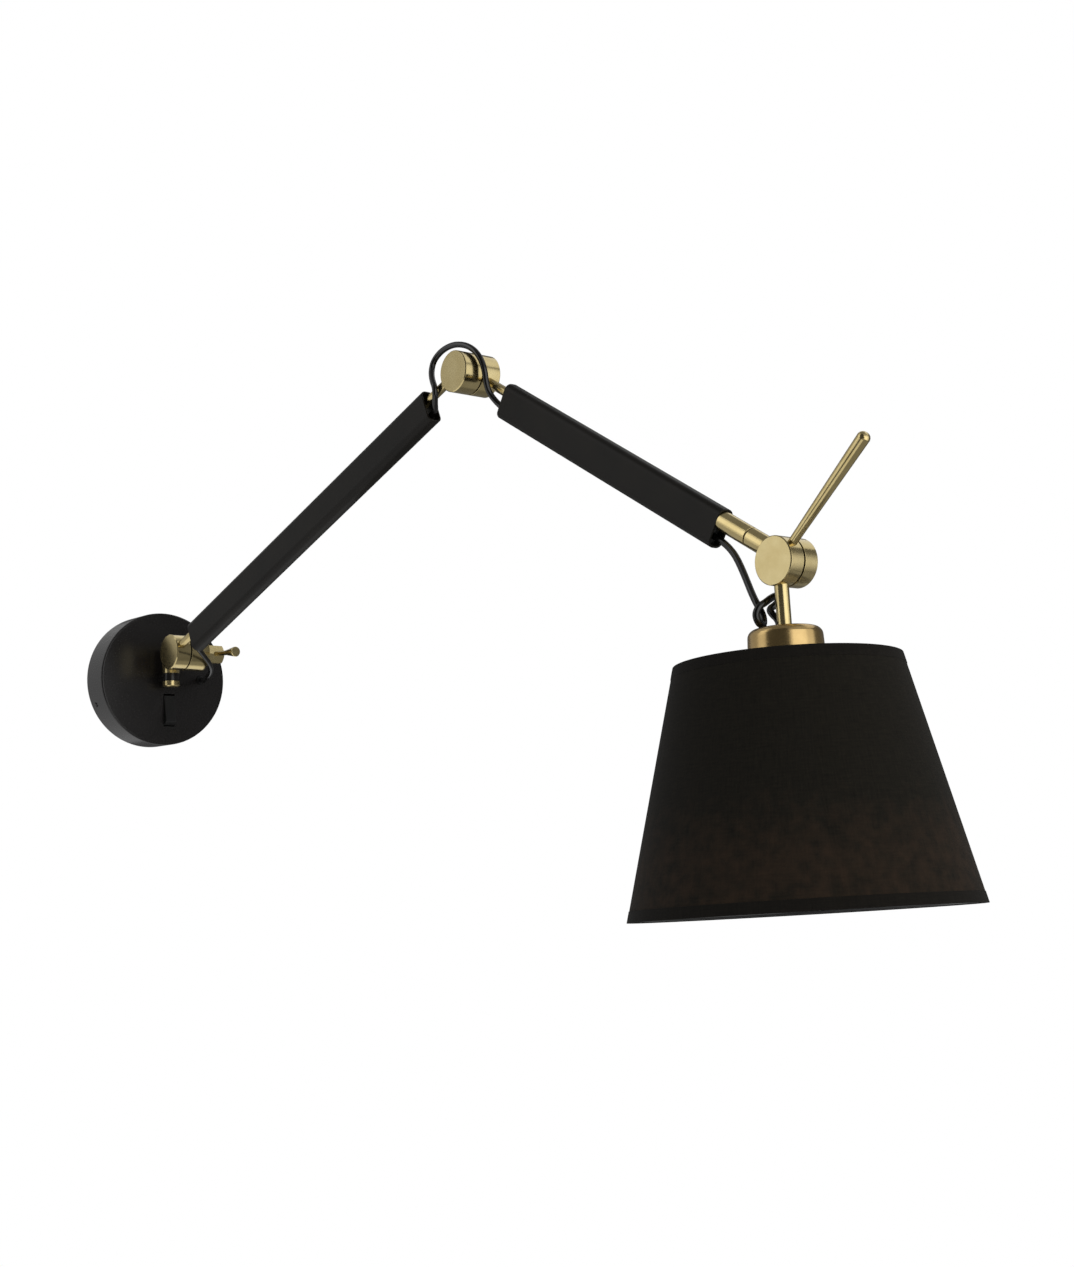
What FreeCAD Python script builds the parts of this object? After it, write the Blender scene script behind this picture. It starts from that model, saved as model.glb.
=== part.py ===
# Articulating wall lamp: wall canopy, swivel, two sleeved arms on barrel joints,
# a twisting wrist and an aimable head with a conical shade. Millimetres, +Z up.
# The origin is the centre of the canopy's back, on the wall; the lamp reaches along -Y.
import FreeCAD, Part
import math
import os
import re
import Sketcher
from FreeCAD import Placement, Rotation, Vector

SIZES = {
    # canopy and what is inside it
    "canopy_radius": 56,
    "canopy_depth": 30,
    "canopy_wall": 1.6,
    "canopy_rounding": 1.5,
    "plate_radius": 42,
    "plate_thick": 2,
    "plate_wire_radius": 10,
    "wall_hole_spacing": 60,
    "wall_hole_radius": 2.25,
    "ear_width": 18,
    "ear_height": 14,
    "ear_gap": 1.2,
    "side_screw_angle": 23,
    "side_screw_radius": 2,
    "side_screw_from_wall": 8,
    "side_screw_proud": 0.7,
    "side_screw_grip": 8,
    "side_hole_gap": 0.08,
    "terminal_length": 24,
    "terminal_width": 11,
    "terminal_height": 11,
    "terminal_offset": 15,
    "terminal_screw_radius": 1.6,
    # rocker switch
    "rocker_width": 9.5,
    "rocker_half_front": 11,
    "rocker_half_back": 13.4,
    "rocker_front": 7,
    "rocker_waist": 1.4,
    "rocker_rear": 2,
    "rocker_tilt": 11,
    "rocker_gap": 0.3,
    "rocker_slot_gap": 0.4,
    "pivot_depth": 4,
    "switch_across": 4.75,
    "switch_below": 26.4,
    "housing_wall": 1.4,
    "housing_depth": 15,
    "housing_floor": 5,
    "tab_length": 6,
    "tab_width": 4.8,
    "tab_thick": 0.8,
    # swivel between the canopy and the shoulder
    "pan_angle": 4.5,
    "pan_reach": 44.5,
    "neck_width": 9,
    "neck_height": 5.6,
    "eye_radius": 7.1,
    "bracket_stud_radius": 2.5,
    "bracket_stud_length": 9.5,
    "bracket_nut_across": 9.2,
    "bracket_nut_height": 4,
    "pin_radius": 3,
    "swivel_washer": 0.45,
    "face_gap": 0.05,
    "cap_height": 4.6,
    "cap_roof": 1.2,
    "cap_chamfer": 0.8,
    "collar_height": 4.7,
    "knuckle_radius": 7.3,
    "knuckle_height": 17,
    "knuckle_pin_depth": 4.6,
    "boss_radius": 5.3,
    "boss_reach": 9.5,
    "boss_start": 0.6,
    "stub_radius": 4,
    "stub_side": 5.5,
    "stub_depth": 6,
    "stub_short": 1.4,
    "shoulder_reach": 26.42,
    "shoulder_side": -2.08,
    "shoulder_height": 18,
    # barrel joints
    "barrel_radius": 14.5,
    "barrel_half": 15,
    "wrist_half": 11,
    "shoulder_right_half": 17.1,
    "shoulder_left_half": 12.9,
    "shoulder_split_side": -2.1,
    "barrel_split": 0.8,
    "barrel_chamfer": 0.6,
    "washer_inset": 1.5,
    "axle_radius": 3,
    "running_gap": 0.05,
    "fixed_gap": 0.02,
    "seat_depth": 6.5,
    "axle_blind": 2.4,
    "screw_head_radius": 5,
    "screw_head_height": 2.5,
    "screw_head_sunk": 0.4,
    "screw_socket_across": 4.4,
    "screw_socket_depth": 1.62,
    "set_screw_radius": 1.5,
    "set_slot_depth": 0.9,
    "set_screw_side": -5,
    # lock knob
    "hub_across": 14.4,
    "hub_length": 18,
    "hub_chamfer": 0.8,
    "hub_stud_depth": 11.6,
    "lever_along_hub": 9.4,
    "lever_length": 39.4,
    "lever_radius": 2,
    "lever_flare_radius": 4.2,
    "lever_flare_start": 24,
    "lever_root": 4.2,
    "lever_drop": 2,
    # arms
    "lower_length": 418,
    "lower_angle": 22,
    "lower_side": -10.5,
    "lower_sleeve_start": 36,
    "lower_sleeve_margin": 36,
    "upper_length": 334,
    "upper_angle": -30.5,
    "upper_side": 6.5,
    "upper_sleeve_start": 40,
    "upper_sleeve_margin": 64,
    "rod_radius": 3.25,
    "sleeve_height": 25,
    "sleeve_width": 12,
    "sleeve_corner": 4.6,
    "sleeve_wall": 1.4,
    "sleeve_drop": 5,
    "plug_length": 10,
    "plug_recess": 4.5,
    "plug_gap": 0.05,
    "cable_radius": 2.1,
    "cable_drop": 11,
    "cable_gap": 0.05,
    "cable_mouth": 3,
    "cable_joint_depth": 0.5,
    "cable_exit_run": 5,
    "cable_end_depth": 4,
    "cable_gland_run": 4,
    "cable_grid": 1,
    # wrist
    "tube_radius": 6.25,
    "twist_from_wrist": 38.5,
    "twist_gap": 0.6,
    "tube_to_neck": 15,
    "wrist_neck_radius": 4,
    "spigot_end": 27,
    "tube_chamfer": 0.4,
    # head
    "head_lean": 3,
    "stem_side": -5.5,
    "stem_radius": 4.25,
    "handle_angle": 42.5,
    "handle_length": 92.3,
    "handle_root_radius": 2.7,
    "handle_tip_radius": 3.95,
    "handle_tip_rounding": 3.4,
    "cup_top": 39,
    "cup_top_radius": 21.6,
    "cup_radius": 22.3,
    "cup_height": 23,
    "cup_cone": 19,
    "cup_wall": 1.2,
    "cup_fillet": 5,
    "cup_nut_across": 14,
    "cup_nut_height": 4.8,
    "gland_side": 7.3,
    "gland_back": 10.4,
    "gland_flange": 1.3,
    "grommet_across": 34,
    "grommet_flange_radius": 3.8,
    "grommet_neck_radius": 2.9,
    "grommet_inner_lip": 1,
    "holder_radius": 18.6,
    "holder_flange_radius": 21.5,
    "holder_skirt_radius": 19.6,
    "holder_flange_start": 66,
    "holder_flange_end": 69,
    "holder_end": 102,
    "holder_stem_depth": 5,
    "socket_radius": 14,
    "socket_floor": 60,
    "shell_radius": 13.9,
    "shell_wall": 0.4,
    "shell_lift": 2,
    "shell_length": 34,
    "contact_radius": 3,
    "contact_height": 1.6,
    "nut_ring_radius": 25,
    "nut_ring_height": 6.5,
    "nut_ring_flange": 2.5,
    "nut_ring_neck": 22.5,
    "carrier_ring_radius": 28,
    "carrier_thick": 1.5,
    "spoke_radius": 1.42,
    "spoke_angle": 30,
    "shade_top": 58,
    "shade_bottom": 200,
    "shade_top_radius": 65,
    "shade_bottom_radius": 100,
    "shade_wall": 1,
    "wire_radius": 1.5,
    "wire_inset": 2,
}

doc = FreeCAD.newDocument("WallLamp")
sheet = doc.addObject("Spreadsheet::Sheet", "Sizes")
for row, (alias, number) in enumerate(SIZES.items(), start=1):
    sheet.set("A%d" % row, alias)
    sheet.set("B%d" % row, str(number))
    sheet.setAlias("B%d" % row, alias)
doc.recompute()


def size(alias):
    return float(sheet.get(alias))


def bind(item, prop, formula):
    item.setExpression(prop, re.sub(r"\b([a-z]\w*)\b(?!\()", r"Sizes.\1", formula))


pieces = {}
ORIGIN = Vector(0, 0, 0)
X_AXIS = Vector(1, 0, 0)
Y_AXIS = Vector(0, 1, 0)
Z_AXIS = Vector(0, 0, 1)
# turns that lay a shape made along +Z along another axis
ALONG = {
    "z": Rotation(),
    "x": Rotation(Y_AXIS, 90),
    "y": Rotation(X_AXIS, -90),
}


def turned_frame(frame, along):
    return frame * Placement(ORIGIN, ALONG[along])


def shifted(frame, x, y, z):
    return frame * Placement(Vector(x, y, z), Rotation())


def keep(item, node, frame):
    item.Label = node
    item.Placement = frame
    pieces[node] = item
    return item


def place(item, at, along):
    for axis, formula in zip("xyz", at):
        if formula != "0":
            bind(item, "Placement.Base.%s" % axis, formula)
    item.Placement.Rotation = ALONG[along]
    return item


def rod(name, radius, length, at=("0", "0", "0"), along="z"):
    item = doc.addObject("Part::Cylinder", name)
    bind(item, "Radius", radius)
    bind(item, "Height", length)
    return place(item, at, along)


def block(name, lengths, at):
    item = doc.addObject("Part::Box", name)
    for prop, formula in zip(("Length", "Width", "Height"), lengths):
        bind(item, prop, formula)
    return place(item, at, "z")


def hexagon(name, across, height, at=("0", "0", "0"), along="z"):
    item = doc.addObject("Part::Prism", name)
    item.Polygon = 6
    bind(item, "Circumradius", "%s / sqrt(3)" % across)
    bind(item, "Height", height)
    return place(item, at, along)


def joined(name, items):
    item = doc.addObject("Part::MultiFuse", name)
    item.Shapes = items
    return item


def cut(name, base, tools):
    item = doc.addObject("Part::Cut", name)
    item.Base = base
    item.Tool = tools[0] if len(tools) == 1 else joined(name + "_tools", tools)
    return item


def outline(sketch, corners):
    """Close the corners into a polygon, each corner held by its own two sizes."""
    count = len(corners)
    for index in range(count):
        turn = 2 * math.pi * index / count
        after = 2 * math.pi * (index + 1) / count
        start = Vector(10 + 9 * math.cos(turn), 9 * math.sin(turn), 0)
        end = Vector(10 + 9 * math.cos(after), 9 * math.sin(after), 0)
        sketch.addGeometry(Part.LineSegment(start, end), False)
    for index in range(count):
        sketch.addConstraint(Sketcher.Constraint("Coincident", index, 2, (index + 1) % count, 1))
    for index, corner in enumerate(corners):
        for kind, formula in zip(("DistanceX", "DistanceY"), corner):
            place_at = sketch.addConstraint(Sketcher.Constraint(kind, -1, 1, index, 1, 1.0))
            bind(sketch, "Constraints[%d]" % place_at, formula)


def plane(body, role):
    return [item for item in body.Origin.OriginFeatures if item.Role == role][0]


def sketch_on(body, role, corners, name):
    sketch = body.newObject("Sketcher::SketchObject", name)
    sketch.AttachmentSupport = [(plane(body, role), "")]
    sketch.MapMode = "FlatFace"
    outline(sketch, corners)
    return sketch


def turned(name, corners):
    """Turn a profile of (radius, along) corners about +Z."""
    body = doc.addObject("PartDesign::Body", name)
    sketch = sketch_on(body, "XZ_Plane", corners, name + "_profile")
    turn = body.newObject("PartDesign::Revolution", name + "_turn")
    turn.Profile = sketch
    turn.ReferenceAxis = (sketch, ["V_Axis"])
    turn.Angle = 360
    sketch.Visibility = False
    doc.recompute()
    return body


def padded(name, corners, length, start="0", midplane=False):
    """Raise an outline of (x, y) corners along +Z."""
    body = doc.addObject("PartDesign::Body", name)
    sketch = sketch_on(body, "XY_Plane", corners, name + "_outline")
    if start != "0":
        bind(sketch, "AttachmentOffset.Base.z", start)
    pad = body.newObject("PartDesign::Pad", name + "_pad")
    pad.Profile = sketch
    pad.Midplane = midplane
    bind(pad, "Length", length)
    sketch.Visibility = False
    doc.recompute()
    return body


def rounded(body, name, radius, test):
    """Round the edges of the body that pass the test."""
    base = body.Tip
    edges = base.Shape.Edges
    chosen = ["Edge%d" % (index + 1) for index, edge in enumerate(edges) if test(edge)]
    fillet = body.newObject("PartDesign::Fillet", name)
    fillet.Base = (base, chosen)
    bind(fillet, "Radius", radius)
    body.Tip = fillet
    doc.recompute()
    return body


def is_circle(edge, radius, along):
    curve = edge.Curve
    if not isinstance(curve, Part.Circle):
        return False
    return abs(curve.Radius - radius) < 1e-4 and abs(curve.Center.z - along) < 1e-4


def is_upright(edge):
    first = edge.Vertexes[0].Point
    last = edge.Vertexes[-1].Point
    return abs(first.x - last.x) < 1e-6 and abs(first.y - last.y) < 1e-6


def joint_frame(origin, angle):
    """Frame of an arm: X along it, Y across it to the right, raised by the angle."""
    pan = Rotation(Z_AXIS, size("pan_angle") - 90)
    return Placement(origin, pan * Rotation(Y_AXIS, -angle))


WALL = Placement(ORIGIN, Rotation(X_AXIS, 90))
SWIVEL = joint_frame(Vector(0, -size("pan_reach"), 0), 0)
shoulder_point = SWIVEL.multVec(
    Vector(size("shoulder_reach"), size("shoulder_side"), size("shoulder_height")))
SHOULDER = joint_frame(shoulder_point, 0)
LOWER = joint_frame(shoulder_point, size("lower_angle"))
elbow_point = LOWER.multVec(Vector(size("lower_length"), 0, 0))
LOWER_END = joint_frame(elbow_point, size("lower_angle"))
ELBOW = joint_frame(elbow_point, 0)
UPPER = joint_frame(elbow_point, size("upper_angle"))
wrist_point = UPPER.multVec(Vector(size("upper_length"), 0, 0))
UPPER_END = joint_frame(wrist_point, size("upper_angle"))
WRIST = joint_frame(wrist_point, 0)
HEAD = joint_frame(wrist_point, size("head_lean") - 90)
STEM = turned_frame(shifted(HEAD, 0, size("stem_side"), 0), "x")

# ---- wall canopy -------------------------------------------------------------
ear_reach = "(sqrt((canopy_radius - canopy_wall)^2 - ear_width^2 / 4) - ear_gap / 2)"
strip = joined("wall_bracket_strip", [
    block("bracket_strip", ("2 * " + ear_reach, "ear_width", "plate_thick"),
          ("-" + ear_reach, "-ear_width / 2", "0")),
    block("bracket_ear_right", ("plate_thick", "ear_width", "ear_height"),
          (ear_reach + " - plate_thick", "-ear_width / 2", "0")),
    block("bracket_ear_left", ("plate_thick", "ear_width", "ear_height"),
          ("-" + ear_reach, "-ear_width / 2", "0")),
])
strip_drilled = cut("wall_bracket_ears", strip, [
    rod("ear_holes", "side_screw_radius + fixed_gap", "2 * canopy_radius",
        ("-canopy_radius", "0", "side_screw_from_wall"), "x")])
strip_drilled.Placement = Placement(ORIGIN, Rotation(Z_AXIS, size("side_screw_angle")))
bracket_plate = joined("wall_bracket_plate", [
    rod("bracket_disc", "plate_radius", "plate_thick"), strip_drilled])
keep(cut("wall_bracket_cut", bracket_plate, [
    rod("bracket_wire_hole", "plate_wire_radius", "3 * plate_thick", ("0", "0", "-plate_thick")),
    rod("bracket_hole_right", "wall_hole_radius", "3 * plate_thick",
        ("wall_hole_spacing / 2", "0", "-plate_thick")),
    rod("bracket_hole_left", "wall_hole_radius", "3 * plate_thick",
        ("-wall_hole_spacing / 2", "0", "-plate_thick")),
]), "wall_bracket", WALL)

canopy_shell = turned("canopy_shell", [
    ("0", "canopy_depth"),
    ("0", "canopy_depth - canopy_wall"),
    ("canopy_radius - canopy_wall", "canopy_depth - canopy_wall"),
    ("canopy_radius - canopy_wall", "0"),
    ("canopy_radius", "0"),
    ("canopy_radius", "canopy_depth"),
])
rounded(canopy_shell, "canopy_front_round", "canopy_rounding",
        lambda edge: is_circle(edge, size("canopy_radius"), size("canopy_depth")))
side_holes = rod("canopy_side_holes", "side_screw_radius + side_hole_gap", "3 * canopy_radius",
                 ("-1.5 * canopy_radius", "0", "side_screw_from_wall"), "x")
side_tool = joined("canopy_side_tool", [side_holes, rod(
    "canopy_bracket_hole", "bracket_stud_radius + running_gap", "3 * canopy_wall",
    ("0", "0", "canopy_depth - 2 * canopy_wall"))])
side_tool.Placement = Placement(ORIGIN, Rotation(Z_AXIS, size("side_screw_angle")))
slot_half = "(rocker_half_back + rocker_slot_gap)"
keep(cut("canopy_cut", canopy_shell, [
    side_tool,
    block("canopy_switch_slot",
          ("rocker_width + 2 * rocker_gap", "2 * " + slot_half, "3 * canopy_wall"),
          ("switch_across - rocker_width / 2 - rocker_gap", "-switch_below - " + slot_half,
           "canopy_depth - 2 * canopy_wall")),
    rod("canopy_grommet_hole", "grommet_neck_radius + fixed_gap", "3 * canopy_wall",
        ("grommet_across", "0", "canopy_depth - 2 * canopy_wall")),
]), "canopy", WALL)

side_screw_frame = WALL * Placement(ORIGIN, Rotation(Z_AXIS, size("side_screw_angle")))
side_screw_frame = shifted(side_screw_frame, 0, 0, size("side_screw_from_wall"))
screw_end = "(canopy_radius + side_screw_proud)"
side_screws = []
for side, sign in (("right", ""), ("left", "-")):
    screw = rod("side_screw_" + side, "side_screw_radius", "side_screw_grip",
                ("-" + screw_end if sign else screw_end + " - side_screw_grip", "0", "0"), "x")
    slot = block("side_screw_slot_" + side,
                 ("side_screw_proud", "side_screw_radius / 3", "3 * side_screw_radius"),
                 (("-%s" if sign else "%s - side_screw_proud") % screw_end,
                  "-side_screw_radius / 6", "-1.5 * side_screw_radius"))
    side_screws.append(cut("side_screw_cut_" + side, screw, [slot]))
keep(joined("side_screws", side_screws), "canopy_side_screws", side_screw_frame)

terminal_frame = WALL * Placement(ORIGIN, Rotation(Z_AXIS, size("side_screw_angle")))
terminal_holes = [
    rod("terminal_hole_%d" % index, "terminal_screw_radius", "terminal_height",
        ("terminal_offset + terminal_length * %s" % share, "0",
         "plate_thick + terminal_height / 2"))
    for index, share in enumerate(("0.25", "0.75"))]
keep(cut("terminal_cut", block(
    "terminal_body", ("terminal_length", "terminal_width", "terminal_height"),
    ("terminal_offset", "-terminal_width / 2", "plate_thick")), terminal_holes),
    "terminal_block", terminal_frame)

# ---- rocker switch -----------------------------------------------------------
housing_top = "(canopy_depth - canopy_wall)"
housing_half = "(rocker_half_back + rocker_slot_gap + housing_wall)"
housing_body = joined("switch_housing_body", [
    block("switch_case",
          ("rocker_width + 2 * rocker_gap + 2 * housing_wall", "2 * " + housing_half,
           "housing_depth"),
          ("switch_across - rocker_width / 2 - rocker_gap - housing_wall",
           "-switch_below - " + housing_half, housing_top + " - housing_depth")),
    block("switch_tab_upper", ("tab_width", "tab_thick", "tab_length + tab_thick"),
          ("switch_across - tab_width / 2", "-switch_below + rocker_half_front / 2",
           housing_top + " - housing_depth - tab_length")),
    block("switch_tab_lower", ("tab_width", "tab_thick", "tab_length + tab_thick"),
          ("switch_across - tab_width / 2", "-switch_below - rocker_half_front / 2",
           housing_top + " - housing_depth - tab_length")),
])
keep(cut("switch_housing_cut", housing_body, [
    block("switch_pocket",
          ("rocker_width + 2 * rocker_gap", "2 * " + slot_half, "housing_depth"),
          ("switch_across - rocker_width / 2 - rocker_gap", "-switch_below - " + slot_half,
           housing_top + " - housing_depth + housing_floor"))]), "switch_housing", WALL)

rocker_body = padded("rocker_body", [
    ("rocker_front", "rocker_half_front"),
    ("rocker_waist", "rocker_half_back"),
    ("-rocker_rear", "rocker_half_front - rocker_waist"),
    ("-rocker_rear", "rocker_waist - rocker_half_front"),
    ("rocker_waist", "-rocker_half_back"),
    ("rocker_front", "-rocker_half_front"),
], "rocker_width", midplane=True)
rocker_frame = shifted(WALL, size("switch_across"), -size("switch_below"),
                       size("canopy_depth") - size("pivot_depth"))
rocker_frame = rocker_frame * Placement(ORIGIN, Rotation(Y_AXIS, -90))
keep(rocker_body, "switch_rocker",
     rocker_frame * Placement(ORIGIN, Rotation(Z_AXIS, size("rocker_tilt"))))

# ---- swivel ------------------------------------------------------------------
bracket_solid = joined("swivel_bracket_solid", [
    block("bracket_neck", ("neck_width", "neck_height", "pan_reach - canopy_depth"),
          ("-neck_width / 2", "-neck_height / 2", "canopy_depth")),
    rod("bracket_eye", "eye_radius", "neck_height", ("0", "-neck_height / 2", "pan_reach"), "y"),
    rod("bracket_stud", "bracket_stud_radius", "bracket_stud_length",
        ("0", "0", "canopy_depth - bracket_stud_length")),
])
keep(cut("swivel_bracket_cut", bracket_solid, [
    rod("bracket_eye_bore", "pin_radius + running_gap", "3 * neck_height",
        ("0", "-1.5 * neck_height", "pan_reach"), "y")]), "swivel_bracket", WALL)
keep(cut("bracket_nut_cut", hexagon(
    "bracket_nut_blank", "bracket_nut_across", "bracket_nut_height",
    ("0", "0", housing_top + " - bracket_nut_height")), [
    rod("bracket_nut_bore", "bracket_stud_radius + fixed_gap", "3 * bracket_nut_height",
        ("0", "0", housing_top + " - 2 * bracket_nut_height"))]), "bracket_nut", WALL)

stack = "(neck_height / 2 + face_gap + swivel_washer)"
cap_end = "(%s + cap_height)" % stack
collar_end = "(%s + collar_height)" % stack
pin_bottom = "(%s - cap_roof)" % cap_end
pin_top = "(%s + knuckle_pin_depth)" % collar_end
grip_bore = "pin_radius + fixed_gap"
keep(turned("pin_body", [
    ("0", "-" + pin_bottom), ("pin_radius", "-" + pin_bottom),
    ("pin_radius", pin_top), ("0", pin_top)]), "swivel_pin", SWIVEL)
keep(turned("cap_body", [
    (grip_bore, "-" + stack), ("eye_radius", "-" + stack),
    ("eye_radius", "cap_chamfer - " + cap_end), ("eye_radius - cap_chamfer", "-" + cap_end),
    ("0", "-" + cap_end), ("0", "-" + pin_bottom), (grip_bore, "-" + pin_bottom),
]), "swivel_nut", SWIVEL)
washers = [cut("swivel_washer_cut_" + name, rod(
    "swivel_washer_disc_" + name, "eye_radius - running_gap", "swivel_washer", ("0", "0", height)),
    [rod("swivel_washer_bore_" + name, "pin_radius + running_gap", "3 * swivel_washer",
         ("0", "0", height + " - swivel_washer"))])
    for name, height in (("low", "-" + stack), ("high", "neck_height / 2 + face_gap"))]
keep(joined("swivel_washer_pair", washers), "swivel_washers", SWIVEL)
keep(turned("collar_body", [
    (grip_bore, stack), ("eye_radius", stack), ("eye_radius", collar_end),
    (grip_bore, collar_end)]), "swivel_collar", SWIVEL)

knuckle_solid = joined("knuckle_solid", [
    rod("knuckle_post", "knuckle_radius", "knuckle_height", ("0", "0", collar_end)),
    rod("knuckle_boss", "boss_radius", "boss_reach - boss_start",
        ("boss_start", "stub_side", "shoulder_height"), "x")])
stub_root = "(boss_reach - stub_depth)"
keep(cut("knuckle_cut", knuckle_solid, [
    rod("knuckle_pin_bore", grip_bore, "knuckle_pin_depth + collar_height",
        ("0", "0", stack)),
    rod("knuckle_stub_bore", "stub_radius + fixed_gap", "2 * stub_depth",
        (stub_root, "stub_side", "shoulder_height"), "x"),
]), "swivel_knuckle", SWIVEL)
stub_end = "(shoulder_reach - barrel_radius + seat_depth - stub_short)"
stub_frame = turned_frame(shifted(SWIVEL, 0, size("stub_side"), size("shoulder_height")), "x")
keep(turned("stub_body", [
    ("0", stub_root), ("stub_radius", stub_root), ("stub_radius", stub_end), ("0", stub_end)]),
    "shoulder_stub", stub_frame)


# ---- barrel joints -----------------------------------------------------------
def barrel_half(name, side, half, bore, depth="", recess=False):
    """A barrel half along Y: bored through, or blind to the depth, or with a sunk screw seat."""
    sign = "-" if side == "left" else ""
    inner = sign + "barrel_split / 2"
    outer = sign + "(barrel_split / 2 + %s)" % half
    rim = sign + "(barrel_split / 2 + %s - barrel_chamfer)" % half
    corners = [(bore, inner), ("barrel_radius", inner), ("barrel_radius", rim),
               ("barrel_radius - barrel_chamfer", outer)]
    if depth:
        stop = sign + "(barrel_split / 2 + %s - %s)" % (half, depth)
        corners += [("0", outer), ("0", stop), (bore, stop)]
    elif recess:
        floor = sign + ("(barrel_split / 2 + %s - screw_head_height - screw_head_sunk)" % half)
        seat = "screw_head_radius + 4 * running_gap"
        corners += [(seat, outer), (seat, floor), (bore, floor)]
    else:
        corners += [(bore, outer)]
    blank = turned(name, corners)
    blank.Placement = Placement(ORIGIN, ALONG["y"])
    return blank


def seat_hole(name, radius, side, reverse=False):
    """Hole for a rod that enters the barrel along X."""
    length = "seat_depth + 2 * barrel_chamfer"
    start = "barrel_radius - seat_depth"
    if reverse:
        start = "-barrel_radius - 2 * barrel_chamfer"
    return rod(name, radius + " + fixed_gap", length, (start, side, "0"), "x")


def friction_washer(node, frame):
    half_gap = "(barrel_split / 2 - face_gap)"
    bore = "axle_radius + running_gap"
    radius = "barrel_radius - washer_inset"
    keep(turned(node + "_disc", [
        (bore, "-" + half_gap), (radius, "-" + half_gap), (radius, half_gap), (bore, half_gap)]),
        node, turned_frame(frame, "y"))


def joint_screw(node, frame, half):
    """Axle whose head is sunk in the right half and whose end is blind in the left one."""
    tip = "-(barrel_split / 2 + %s - axle_blind)" % half
    under = "(barrel_split / 2 + %s - screw_head_height - screw_head_sunk)" % half
    top = "(barrel_split / 2 + %s - screw_head_sunk)" % half
    blank = turned(node + "_body", [
        ("0", tip), ("axle_radius", tip), ("axle_radius", under), ("screw_head_radius", under),
        ("screw_head_radius", top), ("0", top)])
    socket = hexagon(node + "_socket", "screw_socket_across", "screw_head_height",
                     ("0", "0", top + " - screw_socket_depth"))
    keep(cut(node + "_cut", blank, [socket]), node, turned_frame(frame, "y"))


run_bore = "axle_radius + running_gap"
fixed_bore = "axle_radius + fixed_gap"
blind = "(axle_blind - running_gap)"

fixed_half = barrel_half("shoulder_fixed_blank", "right", "shoulder_right_half", run_bore)
stub_seat = rod("shoulder_stub_seat", "stub_radius + fixed_gap", "seat_depth",
                ("-barrel_radius - stub_short + fixed_gap",
                 "stub_side - shoulder_side - shoulder_split_side", "0"), "x")
shoulder_split = shifted(SHOULDER, 0, size("shoulder_split_side"), 0)
keep(cut("shoulder_fixed_cut", fixed_half, [stub_seat]), "shoulder_half_fixed", shoulder_split)
friction_washer("shoulder_washer", shoulder_split)

arm_half = barrel_half("shoulder_arm_blank", "left", "shoulder_left_half", fixed_bore, blind)
keep(cut("shoulder_arm_cut", arm_half, [seat_hole(
    "shoulder_rod_seat", "rod_radius", "lower_side - shoulder_split_side")]),
    "shoulder_half_arm", shifted(LOWER, 0, size("shoulder_split_side"), 0))
stud_tip = "-(barrel_split / 2 + barrel_half - axle_blind)"
hub_start = "(barrel_split / 2 + barrel_half + 2 * face_gap)"
stud_end = "(%s + hub_stud_depth - running_gap)" % hub_start
keep(turned("stud_body", [
    ("0", stud_tip), ("axle_radius", stud_tip), ("axle_radius", stud_end), ("0", stud_end)]),
    "shoulder_stud", turned_frame(LOWER, "y"))

# ---- lock knob ---------------------------------------------------------------
hub_end = "(%s + hub_length)" % hub_start
hub_corner = "hub_across / sqrt(3)"
hub_envelope = turned("hub_envelope", [
    ("0", hub_start), (hub_corner + " - hub_chamfer", hub_start),
    (hub_corner, hub_start + " + hub_chamfer"), (hub_corner, hub_end + " - hub_chamfer"),
    (hub_corner + " - 2 * hub_chamfer", hub_end), ("0", hub_end)])
hub_shape = doc.addObject("Part::MultiCommon", "hub_shape")
hub_shape.Shapes = [hexagon("hub_hexagon", "hub_across", "hub_length", ("0", "0", hub_start)),
                    hub_envelope]
hub_shape.Placement = Placement(ORIGIN, ALONG["y"])
lever_tilt = Placement(ORIGIN, Rotation(Y_AXIS, size("lever_drop")))
lever_side = "(%s + lever_along_hub)" % hub_start
lever_seat = rod("lever_seat", "lever_radius + fixed_gap", "hub_across",
                 ("lever_root - fixed_gap", lever_side, "0"), "x")
keep(cut("hub_cut", hub_shape, [
    rod("hub_bore", "axle_radius + running_gap", "hub_stud_depth + face_gap",
        ("0", hub_start + " - face_gap", "0"), "y"), lever_seat]),
    "knob_hub", SHOULDER * lever_tilt)
lever_offset = size("barrel_split") / 2 + size("barrel_half") + 2 * size("face_gap")
lever_offset += size("lever_along_hub")
keep(turned("lever_body", [
    ("0", "lever_root"), ("lever_radius", "lever_root"), ("lever_radius", "lever_flare_start"),
    ("lever_flare_radius", "lever_length - hub_chamfer"),
    ("lever_flare_radius - hub_chamfer / 2", "lever_length"), ("0", "lever_length")]),
    "knob_lever", turned_frame(shifted(SHOULDER * lever_tilt, 0, lever_offset, 0), "x"))


# ---- sleeved arms ------------------------------------------------------------
def rounded_bar(name, inset, start, end, corner):
    """Bar of the sleeve's section, drawn in by the inset, from start to end."""
    low = "sleeve_drop - sleeve_height / 2 + " + inset
    high = "sleeve_drop + sleeve_height / 2 - (%s)" % inset
    left = "-sleeve_width / 2 + " + inset
    right = "sleeve_width / 2 - (%s)" % inset
    bar = padded(name, [(low, left), (high, left), (high, right), (low, right)],
                 "%s - (%s)" % (end, start), start)
    return rounded(bar, name + "_corners", corner, is_upright)


def sleeve(node, frame, start, end):
    outer = rounded_bar(node + "_outer", "0", start, end, "sleeve_corner")
    inner = rounded_bar(node + "_inner", "sleeve_wall", start + " - sleeve_wall",
                        end + " + sleeve_wall", "sleeve_corner - sleeve_wall")
    keep(cut(node + "_cut", outer, [inner]), node, frame)


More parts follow.
